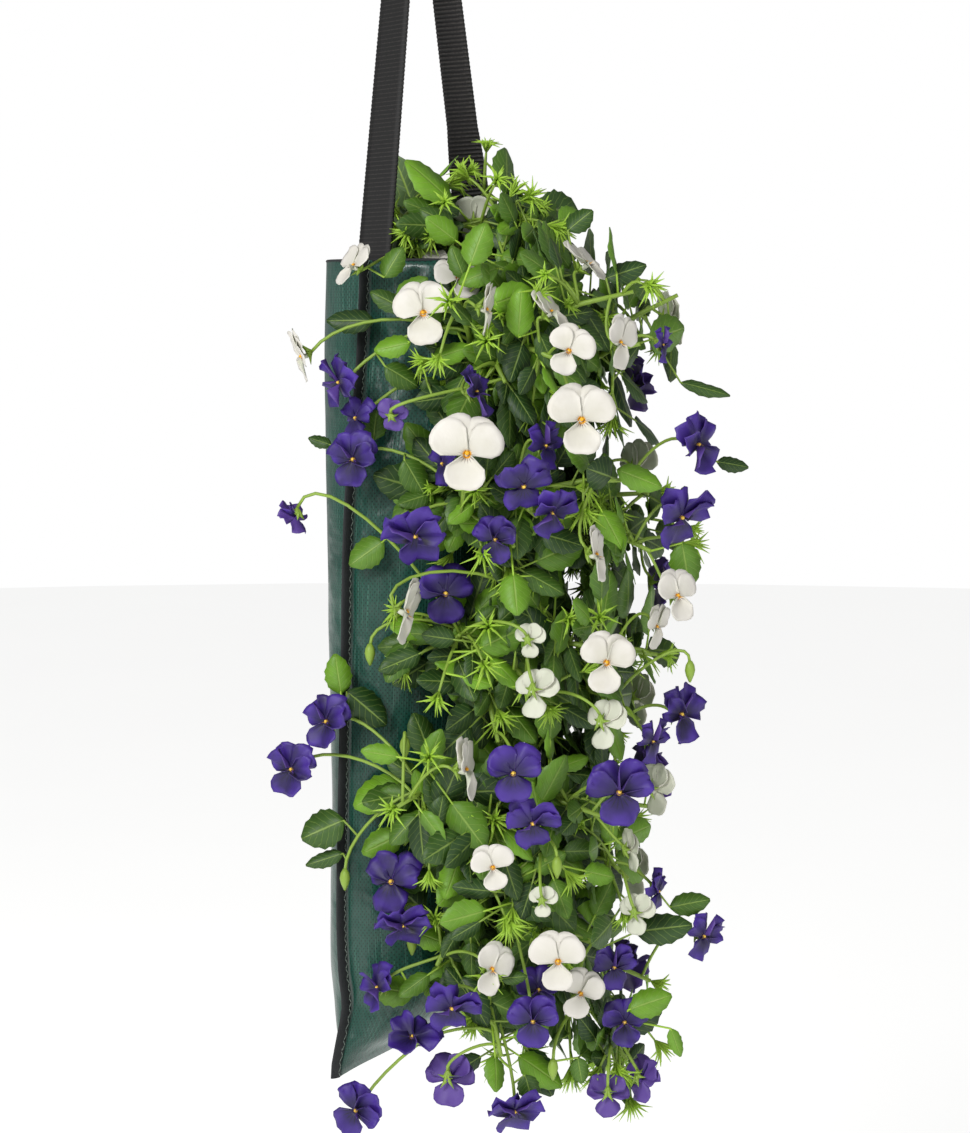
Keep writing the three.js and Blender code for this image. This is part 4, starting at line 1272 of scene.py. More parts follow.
@dataclass(frozen=True)
class FoliageFinish(Finish):
    """Green leaves with pale veins and grey undersides, and yellow-green stems."""

    depth: float = 0.0005
    dark: str = "1f3e12"
    bright: str = "7cb023"
    under: str = "566f42"
    vein: str = "8fa94e"
    stem: str = "7c963a"
    young: str = "a3cc3c"

    def pattern(self, graph: Graph, place: Socket, uv: Socket, effect: Optional[Tree]) -> Pattern:
        """Returns the colour and the height, as for any finish."""
        speckle = graph.noise(place, 160, 4)
        top = graph.mix(graph.attribute("tint"), self.dark, self.bright)
        top = graph.mix(graph.times(speckle, 0.45), top, self.dark)
        mask = graph.group(effect, {"UV": uv}).outputs[0]
        top = graph.mix(graph.times(mask, 0.55), top, self.vein)
        under = graph.mix(mask, self.under, self.vein)
        blade = graph.mix(graph.attribute("back"), top, under)
        green = graph.mix(graph.attribute("tint"), self.stem, self.young)
        return graph.mix(graph.attribute("kind"), blade, green), graph.maths("SUBTRACT", speckle, mask)


@dataclass(frozen=True)
class PetalFinish(Finish):
    """Petals with an eye, dark lines round it, a paler edge, and a tone of each bloom's own, laid on in noise
    patches as a painted fold shade.
    """

    inner: str = "d0cdc2"
    outer: str = "d9d5cd"
    reverse: str = "cbcdbb"
    line: str = "5b4a4c"
    eye: str = "f0b01c"
    shade: str = "c3bfae"
    shade_share: float = 0.5
    eye_radius: float = 0.06
    line_radius: float = 0.125

    def pattern(self, graph: Graph, place: Socket, uv: Socket, effect: Optional[Tree]) -> Pattern:
        """Returns the colour and the height, as for any finish."""
        mark = graph.group(effect, {"UV": uv}).outputs
        clouds = graph.noise(place, 220, 3)
        reach = graph.maths("ADD", mark["Radius"], graph.times(clouds, 0.12))
        petal = graph.mix(graph.step(reach, 0.16, 0.5), self.inner, self.outer)
        # Painted fold shade: in noise patches, each bloom's own tone darkens the petal towards the shade
        # colour.
        painted_fold_shade = graph.step(graph.noise(place, 95, 2), 0.35, 0.7)
        tone_and_fold_shade = graph.times(graph.times(graph.attribute("tint"), painted_fold_shade), self.shade_share)
        petal = graph.mix(tone_and_fold_shade, petal, self.shade)
        petal = graph.mix(graph.attribute("back"), petal, self.reverse)
        near = graph.step(mark["Radius"], self.line_radius, self.line_radius * 0.55)
        front = graph.maths("SUBTRACT", 1.0, graph.attribute("back"))
        petal = graph.mix(graph.times(graph.times(mark["Lines"], near), front), petal, self.line)
        eye = graph.times(graph.step(mark["Radius"], self.eye_radius, self.eye_radius * 0.7), front)
        return graph.mix(eye, petal, self.eye), clouds


@dataclass(frozen=True)
class ClothFinish(Finish):
    """Woven green tarpaulin: staggered dark dots between pale upright filaments."""

    depth: float = 0.012
    base: str = "14463a"
    dot: str = "07231c"
    filament: str = "4d8270"
    dots_across: float = 120
    dots_along: float = 300
    dot_edges: tuple[float, float] = (0.42, 0.72)
    filament_scale: tuple[float, float, float] = (240, 11, 1)

    def pattern(self, graph: Graph, place: Socket, uv: Socket, effect: Optional[Tree]) -> Pattern:
        """Returns the colour and the height, as for any finish."""
        parts = graph.add("ShaderNodeSeparateXYZ", {0: uv}).outputs
        across = graph.maths("SINE", graph.times(parts[0], self.dots_across * math.pi))
        along = graph.maths("SINE", graph.times(parts[1], self.dots_along * math.pi))
        inputs = {0: uv, 1: self.filament_scale}
        stretch = graph.add("ShaderNodeVectorMath", inputs, operation="MULTIPLY").outputs[0]
        threads = graph.step(graph.noise(stretch, 1.0, 2), 0.52, 0.72)
        colour = graph.mix(graph.times(threads, 0.55), self.base, self.filament)
        colour = graph.mix(graph.step(graph.times(across, along), *self.dot_edges), colour, self.dot)
        return colour, graph.maths("ADD", graph.noise(place, 28, 3), graph.times(threads, 0.035))


@dataclass(frozen=True)
class WebbingFinish(Finish):
    """Black webbing with a painted sheen on its ribs, which leaves the grooves between them black."""

    groove: str = "050505"
    ridge_sheen: str = "3b3735"
    ribs: float = 225

    def pattern(self, graph: Graph, place: Socket, uv: Socket, effect: Optional[Tree]) -> Pattern:
        """Returns the colour and the height, as for any finish."""
        parts = graph.add("ShaderNodeSeparateXYZ", {0: uv}).outputs
        wave = graph.maths("SINE", graph.times(parts[1], self.ribs * 2 * math.pi))
        # Painted sheen: the ribs' tops are paler where light would catch them, broken up by noise.
        sheen_breaks = graph.step(graph.noise(place, 900, 2), 0.1, 0.7)
        return graph.mix(graph.times(graph.step(wave, -0.7, 0.8), sheen_breaks), self.groove, self.ridge_sheen), wave


@dataclass(frozen=True)
class PlainFinish(Finish):
    """One colour, mottled towards a second, with a fine grain."""

    base: str = "16181a"
    mottle: str = "2a2c2e"
    scale: float = 900

    def pattern(self, graph: Graph, place: Socket, uv: Socket, effect: Optional[Tree]) -> Pattern:
        """Returns the colour and the height, as for any finish."""
        grain = graph.noise(place, self.scale, 4)
        return graph.mix(grain, self.base, self.mottle), grain


# The bag and its strap

@dataclass
class Bag:
    """Front and back cloth, seam bindings, stitches, rim fold and soil."""

    sheet_thickness: float = 0.8
    columns: int = 48
    rows: int = 100
    hole_radius: float = 11
    stitch_pitch: float = 3
    stitch_lean: float = 0.9
    stitch_in: float = 2.4
    stitch_out: float = 1.05
    crease: float = 2.6
    flat: tuple[float, float] = (0.19, 0.48)
    crumb_count: int = 420
    crumb_spread: float = 0.88
    crumb_radius: tuple[float, float] = (0.9, 3.4)

    def cloth_at(self, side: int, across: float, up: float) -> Point:
        """Returns a place on the outside of a panel.

        Args:
            side: -1 for the front and 1 for the back.
            across: The share across.
            up: The share of the way up.

        Returns:
            The place.
        """
        down = 1 - up
        turn = math.pi * (1 - across if side < 0 else across)
        half_width, half_depth = BAG.rounded(down)
        spot = Vector((across * 5 + side, up * 9, 0.0))
        lift = self.crease * max(0.0, noise.noise(spot) + 0.4) * math.sin(turn)
        x = (half_width - 0.2) * math.cos(turn)
        y = side * (BAG.gap / 2 + (half_depth - 0.2 + lift) * math.sin(turn))
        return vector(x, y, BAG.level(down, turn))

    def panel(self, name: str, side: int, node: str, material: Material,
              holes: Sequence[Plant]) -> None:
        """Builds a panel, cut through for the plants that grow out of it.

        Args:
            name: Its name.
            side: -1 for the front and 1 for the back.
            node: The solid it stands for.
            material: Its finish.
            holes: The plants that grow out of it.
        """
        def where(across: float, up: float) -> Vector:
            """Returns the place on this panel, in metres."""
            return in_frame(self.cloth_at(side, across, up))

        shape = Shape(curved_sheet(self.columns, self.rows, where, self.sheet_thickness * MM))
        piece = shape.finish(name, material, "cloth", (node,))
        if holes:
            cutter = Shape()
            for plant in holes:
                ends = [plant.at - plant.outward * 12, plant.at + plant.outward * 12]
                cutter.bent_rod(ends, [self.hole_radius] * 2, 32)
            mesh = bpy.data.meshes.new("holes")
            cutter.bm.to_mesh(mesh)
            cutter.bm.free()
            tool = bpy.data.objects.new("holes", mesh)
            bpy.context.scene.collection.objects.link(tool)
            cut = piece.modifiers.new("holes", "BOOLEAN")
            cut.operation, cut.object = "DIFFERENCE", tool
            shown = piece.evaluated_get(bpy.context.evaluated_depsgraph_get())
            whole = bpy.data.meshes.new_from_object(shown)
            piece.modifiers.clear()
            piece.data = whole
            bpy.data.objects.remove(tool)

    def bindings(self, material: Material, thread: Material) -> None:
        """Builds the tape folded over each side seam, and the stitches along it.

        Args:
            material: The tape's finish.
            thread: The stitches' finish.
        """
        for side, name in ((-1, "left"), (1, "right")):
            tape, stitches = Shape(), Shape()
            path = [self.seam(side, step / 60) for step in range(61)]
            tape.bent_rod(path, [BAG.tape_depth / 2] * 61, 12)
            half = BAG.tape_thickness / 2 * MM
            seam_y = -HOOK[1] * MM
            for vert in tape.bm.verts:
                vert.co.y = seam_y + (vert.co.y - seam_y) * half / (BAG.tape_depth / 2 * MM)
            tape.finish(f"folded_binding_{name}", material, "binding_tape", (f"seam_binding_{name}",))
            count = int(BAG.height / self.stitch_pitch)
            for index in range(count):
                lean = self.stitch_lean if index % 2 else -self.stitch_lean
                ends = []
                for share, aside in ((0.08, lean), (0.92, -lean)):
                    inward = vector(side * (aside - self.stitch_in), -self.stitch_out, 0)
                    ends.append(self.seam(side, (index + share) / count) + inward)
                stitches.bent_rod(ends, [0.26, 0.26], 5)
            stitches.finish(f"stitches_{name}", thread, "binding_tape")

    def seam(self, side: int, down: float) -> Point:
        """Returns a place on the middle of a seam's tape."""
        half_width = BAG.rounded(down)[0]
        return vector(side * (half_width + BAG.gap + BAG.tape_depth / 2), 0, BAG.rim_z - BAG.height * down)

    def crumbs(self, material: Material) -> None:
        """Builds the loose crumbs that lie on the soil in the open mouth.

        Args:
            material: Their finish.
        """
        lump = Shape().bm
        bmesh.ops.create_icosphere(lump, subdivisions=1, radius=1)
        template = as_mesh(lump, "crumb")
        draw, loose = Draws(77), Shape()
        half_width, half_depth = BAG.rounded((BAG.rim_z - BAG.soil_top_z) / BAG.height)
        for _ in range(self.crumb_count):
            turn, out = 2 * math.pi * draw(), math.sqrt(draw()) * self.crumb_spread
            size = draw.between(*self.crumb_radius)
            place = vector(half_width * out * math.cos(turn), half_depth * out * math.sin(turn),
                           BAG.soil_top_z + 0.3 * size)
            spin = 2 * math.pi * draw()
            aside = vector(math.cos(spin), math.sin(spin), 0)
            axes = (aside, vector(-aside[1], aside[0], 0), UP)
            loose.add(template, placing(place, axes, (size, size * 0.8, size * 0.65)))
        loose.finish("soil_crumbs", material, "soil")

    def rim(self, material: Material) -> None:
        """Builds the folded edge round the open mouth.

        Args:
            material: Its finish.
        """
        fold = Shape()
        for side in (-1, 1):
            turns = [math.pi * (0.01 + 0.98 * step / 40) for step in range(41)]
            half_width, half_depth = BAG.rounded(0)
            path = [vector((half_width - 0.6) * math.cos(turn), side * (half_depth - 0.6) * math.sin(turn),
                           BAG.rim_z) for turn in turns]
            fold.bent_rod(path, [0.9] * 41, 8)
        fold.finish("rim_fold", material, "cloth")


@dataclass
class Strap:
    """One length of ribbed webbing from rim to rim over the hook."""

    width: float = 23
    thickness: float = 1.6
    end_z: float = -270
    rim_x: float = 52.4
    seat_length: float = 10
    leg_steps: int = 6
    shoulder_out: float = 2.6
    shoulder_z: float = -3.4
    leg_twist: float = 24
    twist_step: int = 1
    hook_turn: float = -16
    look_ahead: float = 0.004
    columns: int = 6
    rows: int = 900
    rib: float = 0.22

    def stations(self) -> list[tuple[Point, float]]:
        """Returns the strap's middle line, each place with its turn in degrees."""
        seat = self.seat_length / 2
        angle = math.radians(self.hook_turn)
        along = vector(math.cos(angle), math.sin(angle), 0)
        stations: list[tuple[Point, float]] = []
        for side in (-1, 1):
            leg = [(vector(side * self.rim_x, 0, self.end_z), 0.0)]
            rim = vector(side * self.rim_x, 0, BAG.rim_z)
            shoulder = HOOK + along * (side * (seat + self.shoulder_out))
            shoulder[2] = self.shoulder_z
            for step in range(self.leg_steps + 1):
                share = step / self.leg_steps
                twisted = side > 0 and step == self.twist_step
                twist = self.leg_twist if twisted else self.hook_turn * share
                leg.append((rim + (shoulder - rim) * share, twist))
            top = HOOK + along * (side * seat)
            top[2] = self.thickness / 2
            leg.append((top, self.hook_turn))
            stations.extend(leg if side < 0 else reversed(leg))
        return stations

    def build(self, material: Material) -> None:
        """Builds the strap.

        Args:
            material: Its finish.
        """
        stations = self.stations()
        places = np.array([place for place, _ in stations])
        turns = np.array([turn for _, turn in stations])
        steps = np.linalg.norm(np.diff(places, axis=0), axis=1)
        reach = np.concatenate(([0], np.cumsum(steps))) / steps.sum()

        def middle(share: float) -> Point:
            """Returns the place on the middle line at a share of its length."""
            return np.array([np.interp(share, reach, places[:, axis]) for axis in range(3)])

        def where(across: float, share: float) -> Vector:
            """Returns the place on the strap's outer side, in metres."""
            after, before = min(share + self.look_ahead, 1), max(share - self.look_ahead, 0)
            along = unit(middle(after) - middle(before))
            angle = math.radians(np.interp(share, reach, turns) - 90)
            level = vector(math.cos(angle), math.sin(angle), 0)
            level = unit(level - along * (level @ along))
            through = cross(along, level)
            ribbed = self.rib * math.sin(share * self.rows * math.pi / 2)
            lift = self.thickness / 2 + ribbed
            return in_frame(middle(share) + level * ((0.5 - across) * self.width) + through * lift)

        shape = Shape(curved_sheet(self.columns, self.rows, where, self.thickness * MM))
        shape.finish("ribbed_strap", material, "webbing", ("strap_loop",))


# Leaves and blooms

LEAF_CUT = (21.6, 30.0)


def leaf_template(index: int) -> bpy.types.Mesh:
    """Cuts a toothed leaf, its base at the origin.

    Args:
        index: Which of the variants.

    Returns:
        The leaf in millimetres, as wide and as long as LEAF_CUT: x across, y along, z out of its face.
    """
    draw = Draws(101 + 17 * index)
    shift, wave, curl = draw(), 0.5 + 0.7 * draw(), 2 + 2 * draw()
    wide, long = LEAF_CUT

    def where(across: float, along: float) -> Vector:
        """Returns the place on the blade's face."""
        outline = max(0.03, math.sin(math.pi * min(along, 0.995) ** 0.85)) ** 0.6
        tooth = 1 - 0.11 * (round(along * 10) % 2)
        x = (across - 0.5) * outline * tooth
        ripple = wave * math.sin(9 * along + 6 * shift) * abs(2 * x)
        return Vector((x * wide, along * long, -3.2 * abs(x) - curl * along ** 2 + ripple))

    return as_mesh(curved_sheet(2, 10, where, 0.4), f"leaf_{index}")


@dataclass(frozen=True)
class Petal:
    """One petal: heading and half opening in degrees, length, lift at its edge, and its layer."""

    heading: float
    opening: float
    length: float
    lift: float
    layer: float


PETALS = {
    Tint.WHITE: (
        Petal(116, 46, 19.6, -2.6, -0.9), Petal(64, 46, 19.2, -2.6, -0.5),
        Petal(143, 54, 19.8, -0.4, -0.1), Petal(40, 54, 19.8, -0.4, 0.3), Petal(-90, 62, 19, 1.6, 0.9)),
    Tint.VIOLET: (
        Petal(125, 54, 20, -2.4, -0.8), Petal(55, 54, 19.6, -2.4, -0.4),
        Petal(158, 46, 18.6, -0.4, -0.2), Petal(22, 46, 18.6, -0.4, 0), Petal(-90, 74, 18.4, 1.6, 0.9)),
}


def bloom_template(index: int, tint: Tint, ruffle: float, curl: float) -> bpy.types.Mesh:
    """Cuts a bloom: five petals, the knob in its eye and the spur behind.

    Args:
        index: Which of the variants.
        tint: Which petals it has.
        ruffle: How far the petals' edges wave, in millimetres.
        curl: How far a petal may bend forward or back, in millimetres.

    Returns:
        The bloom in millimetres: x right, y up, z out of its face.
    """
    draw = Draws(501 + 23 * index)
    bloom = Shape()
    for petal in PETALS[tint]:
        phase, length = 6 * draw(), petal.length * draw.between(0.94, 1.03)
        bend, fold = curl * draw.between(-1, 1), curl * draw.between(-0.6, 0.6)

        def where(across: float, out: float) -> Vector:
            """Returns the place on the petal's face."""
            side = 2 * across - 1
            reach = max(2.2, length * (1 - abs(side) ** 2.7) ** 0.5)
            if petal.heading < 0:
                reach *= 1 - 0.05 * math.exp(-(side * 6) ** 2)
            radius = 1.2 + (reach - 1.2) * out
            angle = math.radians(petal.heading - petal.opening * side)
            waves = math.sin(7 * side + phase) + 0.5 * math.sin(15 * side + 2 * phase)
            z = petal.layer * min(1, 3 * out) + (petal.lift + bend) * out ** 2 - 1.4 * (1 - out) ** 2
            z += fold * side * out
            z += ruffle * waves * out ** 3
            return Vector((radius * math.cos(angle), radius * math.sin(angle), z))

        blade = curved_sheet(12, 7, where, 0.4)
        uv = blade.loops.layers.uv["UVMap"]
        for face in blade.faces:
            for loop in face.loops:
                loop[uv].uv = (loop.vert.co.x / 40 + 0.5, loop.vert.co.y / 40 + 0.5)
        bloom.take_in(blade)
    knob = Shape().bm
    bmesh.ops.create_uvsphere(knob, u_segments=8, v_segments=6, radius=1.1)
    bmesh.ops.translate(knob, verts=knob.verts[:], vec=(0, 0.4, -0.6))
    spur = Shape().bm
    bmesh.ops.create_cone(spur, cap_ends=True, segments=8, radius1=0.9, radius2=2, depth=6)
    bmesh.ops.translate(spur, verts=spur.verts[:], vec=(0, -1, -4.6))
    for extra, behind in ((knob, 0), (spur, 1)):
        uv, back = extra.loops.layers.uv["UVMap"], extra.verts.layers.float["back"]
        for vert in extra.verts:
            vert[back] = behind
        for face in extra.faces:
            for loop in face.loops:
                loop[uv].uv = (0.5, 0.5)
        bloom.take_in(extra)
    return as_mesh(bloom.bm, f"bloom_{index}")


@dataclass(frozen=True)
class SeenLeaf:
    """A leaf by its middle's pixel, how far it stands out, its length, heading and width's share."""

    col: float
    row: float
    near: float
    length: float
    heading: float
    slim: float = 0.72

    def leaf(self, runs: Sequence[list[Point]], clearance: float) -> Leaf:
        """Hangs the leaf on the nearest stem or stalk.

        Args:
            runs: The lines that it may hang on.
            clearance: How far its blade keeps from the bag.

        Returns:
            The leaf, moved towards the camera as far as it takes to clear the bag.
        """
        heading = math.radians(self.heading)
        along = unit(TO_RIGHT * math.cos(heading) + UP * math.sin(heading))
        facing = TO_VIEWER * 0.9 + UP * 0.42
        normal = unit(facing - along * (facing @ along))
        for ahead in range(0, 60, 4):
            base = VIEW.place(self.col, self.row, self.near + ahead) - along * (self.length / 2)
            places = (point for run in runs for point in run)
            root = min(places, key=lambda point: length_of(point - base))
            wide, petiole = cross(along, normal), length_of(base - root)
            leaf = Leaf(root, base, along, wide, normal, petiole, self.length, self.length * self.slim, [])
            if not in_bag(leaf, clearance):
                break
        return leaf


def plant_runs(plant: Plant) -> list[list[Point]]:
    """Returns the lines of a plant's stems and flower stalks."""
    stalks = [curve_points(stalk.corners, Garden.stalk_steps) for stalk in plant.stalks]
    return [stem.points for stem in plant.stems] + stalks


SEEN_LEAVES = tuple(SeenLeaf(*values) for values in (
    (338, 674, 70, 23, 98), (322, 829, 74, 27, 202, 0.9), (324, 859, 66, 23, 196, 0.45),
    (366, 553, 70, 24, 214, 0.8), (350, 320, 66, 27, 178, 0.6), (375, 425, 72, 17, 84, 0.85),
    (320, 441, 60, 14, 160, 0.6), (367, 708, 72, 30, -40), (376, 795, 74, 30, 205, 0.8),
    (706, 388, 50, 30, -12, 0.3), (733, 464, 38, 19, -8, 0.55), (686, 566, 74, 27, -80),
    (690, 903, 62, 24, 12, 0.62), (664, 928, 78, 33, 8, 0.6), (650, 1002, 96, 26, 20, 0.7),
    (580, 220, 78, 18, 40, 0.8), (437, 217, 66, 22, 150, 0.6), (626, 271, 84, 24, 20, 0.6),
    (393, 262, 78, 20, 60), (388, 300, 84, 22, 150, 0.6), (412, 286, 88, 20, 30, 0.6),
    (392, 346, 84, 21, 190, 0.7), (458, 262, 84, 20, 110, 0.6), (402, 376, 84, 22, -30),
    (452, 352, 92, 23, 20, 0.6), (432, 389, 92, 15, -60, 0.85), (478, 275, 90, 24, 200, 0.6),
    (520, 312, 104, 28, 86, 0.6), (415, 478, 92, 24, -60), (640, 478, 104, 27, -20, 0.6),
    (392, 990, 82, 26, 170, 0.75), (432, 938, 92, 22, -20), (414, 880, 88, 22, 20, 0.7),
    (676, 1043, 92, 18, -70, 0.5), (580, 1071, 100, 16, -80), (529, 1089, 104, 17, -75, 0.8),
))


@dataclass
class Garden:
    """Dresses the plants that were set out: leaves, stems, stalks, tufts, calyces, buds and blooms."""

    planting: Planting
    leaves_each: int = 125
    shoots_each: int = 20
    leaf_tries: int = 12
    shoot_tries: int = 6
    bag_gap: float = 2
    seen_gap: float = 1.5
    shoot_room: float = 1.4
    tuft_pixels: float = 22
    crown_radii: tuple[float, ...] = (3.2, 3)
    stem_radii: tuple[float, ...] = (1.9, 1.8, 1.6, 1.2)
    shoot_radii: tuple[float, ...] = (1.2, 1.1, 1, 0.9, 0.7)
    petiole_radii: tuple[float, ...] = (0.7, 0.6, 0.4)
    stalk_radius: float = 0.95
    stalk_steps: int = 10
    fingers: int = 17
    finger_turns: float = 2.4
    finger_spreads: tuple[float, ...] = (0.35, 0.8, 0.58)
    finger_radii: tuple[float, ...] = (0.4, 0.85, 0.12)
    finger_tint: float = 0.75
    sepals: int = 5
    sepal_radii: tuple[float, ...] = (0.9, 1.3, 0.15)
    bud_heights: tuple[float, ...] = (1.5, -1, -4, -7, -11)
    bud_radii: tuple[float, ...] = (1.2, 2.6, 3.1, 2.4, 0.6)
    limit_rows: tuple[float, ...] = (
        215, 240, 280, 320, 360, 400, 440, 480, 520, 560, 600, 650, 700, 750, 800, 850, 900, 950,
        1000, 1050, 1085)
    limit_left: tuple[float, ...] = (
        400, 370, 362, 372, 385, 390, 385, 372, 385, 395, 400, 372, 345, 340, 340, 345, 365, 440,
        375, 370, 440)
    limit_right: tuple[float, ...] = (
        590, 610, 650, 655, 680, 700, 700, 695, 690, 695, 690, 680, 690, 680, 670, 655, 665, 690,
        690, 660, 640)

    def __post_init__(self) -> None:
        """Cuts the leaves and blooms that are repeated, and works out where blooms are seen."""
        self.leaf_shapes = [leaf_template(index) for index in range(6)]
        self.bloom_shapes = {
            Tint.WHITE: [bloom_template(index, Tint.WHITE, 0.6, 1.1) for index in range(4)],
            Tint.VIOLET: [bloom_template(index + 4, Tint.VIOLET, 2.3, 4.4) for index in range(5)],
        }
        self.seen = np.array([(b.col, b.row, b.near, b.width / 2 / VIEW.pixel_size) for b in BLOOMS])
        self.edge_leaves: dict[int, list[Leaf]] = {}
        for seen in SEEN_LEAVES:
            hung = [(plant.number, seen.leaf(plant_runs(plant), self.seen_gap))
                    for plant in self.planting.plants]
            number, leaf = min(hung, key=lambda pair: pair[1].petiole)
            self.edge_leaves.setdefault(number, []).append(leaf)
            LOG.info("seen leaf at %d, %d on plant_%02d", seen.col, seen.row, number)

    def limits(self, row: float) -> tuple[float, float]:
        """Returns the columns that the plants keep between in a row of the photo."""
        left = np.interp(row, self.limit_rows, self.limit_left)
        return left, np.interp(row, self.limit_rows, self.limit_right)

    def hides_bloom(self, point: Point, margin: float) -> bool:
        """Tells whether something of so many pixels' radius, at a point, hides a bloom.

        Args:
            point: The point.
            margin: The radius in pixels.

        Returns:
            True where it does.
        """
        col, row = VIEW.pixel(point)
        cols, rows, nears, radii = self.seen.T
        over = np.hypot(cols - col, rows - row) < radii * 0.8 + margin * 0.7
        return bool((over & (point @ TO_VIEWER > nears - 3)).any())

    def clear(self, leaf: Leaf) -> bool:
        """Tells whether an extra leaf is within the plant's outline and hides no bloom.

        Args:
            leaf: The leaf.

        Returns:
            True where it may stay.
        """
        middle = leaf.base + leaf.along * (leaf.length / 2)
        col, row = VIEW.pixel(middle)
        margin = leaf.length * 0.4 / VIEW.pixel_size
        if not self.limit_rows[0] - 10 < row < self.limit_rows[-1] + 10:
            return False
        left, right = self.limits(row)
        if not left + margin * 0.5 < col < right - margin * 0.5 or in_bag(leaf, self.bag_gap):
            return False
        if self.hides_bloom(middle, margin):
            return False
        room = self.planting.room
        return not room.blocks(leaf.boxes[1], room.of_flower_or_strap)

    def add_leaf(self, shape: Shape, leaf: Leaf, draw: Draws) -> None:
        """Adds a leaf's blade and its petiole.

        Args:
            shape: The foliage.
            leaf: The leaf.
            draw: The draws.
        """
        template = draw.pick(self.leaf_shapes)
        axes = (leaf.wide, leaf.along, leaf.normal)
        tint = draw() ** 1.9
        across, forward = leaf.width / LEAF_CUT[0], leaf.length / LEAF_CUT[1]
        shape.add(template, placing(leaf.base, axes, (across, forward, forward)), tint)
        petiole = [leaf.root, leaf.base, leaf.base + leaf.along * 2 - leaf.normal * 0.5]
        shape.bent_rod(petiole, self.petiole_radii, 5, tint)

    def add_tuft(self, shape: Shape, tuft: Tuft) -> None:
        """Adds the narrow fingers of a tuft.

        Args:
            shape: The foliage.
            tuft: The tuft.
        """
        other = cross(tuft.ahead, tuft.across)
        for index in range(self.fingers):
            turn = 2 * math.pi * (index + tuft.spin) / self.fingers * self.finger_turns
            out = tuft.across * math.cos(turn) + other * math.sin(turn)
            spread = self.finger_spreads[index % 3]
            lean = tuft.ahead * (1.05 - 0.6 * spread) + out * spread - UP * 0.14
            tip = tuft.at + lean * tuft.reach
            middle = tuft.at + (tuft.ahead * 0.5 + out * spread * 0.35) * tuft.reach
            shape.bent_rod([tuft.at, middle, tip], self.finger_radii, 4, self.finger_tint)

    def dress(self, plant: Plant, foliage: Material,
              petals: dict[Tint, Material]) -> None:
        """Builds a plant's foliage and those of its blooms that are one with it.

        Args:
            plant: The plant.
            foliage: The finish of everything green.
            petals: The finish of each tint of bloom.
        """
        draw = Draws(9001 + 37 * plant.number)
        node = f"plant_{plant.number:02d}"
        shape = Shape()
        crown = [plant.at - plant.outward * 10, plant.at + plant.outward * self.planting.crown_rise]
        shape.bent_rod(crown, self.crown_radii, 8)
        for stem in plant.stems:
            shape.bent_rod(stem.points, self.stem_radii, 7)
        for leaf in plant.leaves + self.edge_leaves.get(plant.number, []):
            self.add_leaf(shape, leaf, draw)
        for tuft in plant.tufts:
            self.add_tuft(shape, tuft)
        for stalk in plant.stalks:
            self.add_stalk(shape, stalk)
        runs = [stem.points for stem in plant.stems] + self.shoots(shape, plant, draw)
        added = 0
        for _ in range(self.leaves_each * self.leaf_tries):
            if added >= self.leaves_each:
                break
            run = draw.pick(runs)
            leaf = drawn_leaf(along_steps(run, 0.15 + 0.85 * draw()), draw, draw.between(0.55, 1.0),
                              draw.between(0.55, 0.78))
            if self.clear(leaf):
                self.add_leaf(shape, leaf, draw)
                added += 1
        LOG.info("%s: %d leaves of its own and %d more", node, len(plant.leaves), added)
        shape.finish(f"{node}_foliage", foliage, "foliage", (node,))
        for tint in Tint:
            carried = [stalk.owner for stalk in plant.stalks if isinstance(stalk.owner, Bloom)
                       and stalk.owner.tint is tint and not stalk.owner.own]
            if carried:
                group = Shape()
                for bloom in carried:
                    self.add_bloom(group, bloom, draw)
                group.finish(f"{node}_{tint.value}_blooms", petals[tint], tint.slot, (node,))

    def shoots(self, shape: Shape, plant: Plant, draw: Draws) -> list[list[Point]]:
        """Grows a plant's side shoots, each with a tuft at its tip, and returns their lines.

        Args:
            shape: The foliage.
            plant: The plant.
            draw: The draws.

        Returns:
            The shoots' lines.
        """
        lines, room = [], self.planting.room
        for _ in range(self.shoots_each * self.shoot_tries):
            if len(lines) >= self.shoots_each or not plant.stems:
                break
            stem = draw.pick(plant.stems)
            start = along_steps(stem.points, draw.between(0.2, 0.95))
            reach = vector(draw.between(-34, 34), draw.between(-34, 24), draw.between(-42, 28))
            points = curve_points((start, start + reach * 0.5 + UP * 7, start + reach), 4)
            col, row = VIEW.pixel(points[-1])
            left, right = self.limits(row)
            rods = rods_along(points[1:], self.shoot_room)
            if not left + 14 < col < right - 8:
                continue
            if any(BAG.contains(point, self.bag_gap) for point in points[1:]):
                continue
            if self.hides_bloom(points[-1], self.tuft_pixels):
                continue
            if any(room.blocks(rod, room.of_flower_or_strap) for rod in rods):
                continue
            shape.bent_rod(points, self.shoot_radii, 5)
            ahead = unit(points[-1] - points[-2])
            self.add_tuft(shape, Tuft(points[-1], ahead, sideways_of(ahead), draw.between(12, 19), draw()))
            lines.append(points)
        return lines

    def add_stalk(self, shape: Shape, stalk: Stalk) -> None:
        """Adds a flower's stalk, with the sepals behind its bloom or the bud at its end.

        Args:
            shape: The foliage.
            stalk: The stalk.
        """
        path = curve_points(stalk.corners, self.stalk_steps)
        shape.bent_rod(path, [self.stalk_radius] * len(path), 6)
        if isinstance(stalk.owner, Bud):
            bud = [stalk.base + UP * z for z in self.bud_heights]
            shape.bent_rod(bud, self.bud_radii, 8)
            return
        place = stalk.owner.frame
        for index in range(self.sepals):
            turn = 2 * math.pi * (index + 0.25) / self.sepals
            x, y = math.cos(turn), math.sin(turn)
            sepal = [stalk.base, place.at(2.5 * x, 2.5 * y, -6.5), place.at(8 * x, 8 * y, -4.6)]
            shape.bent_rod(sepal, self.sepal_radii, 4)
        shape.bent_rod([stalk.base, place.at(0, 0, -5)], [1, 2], 7)

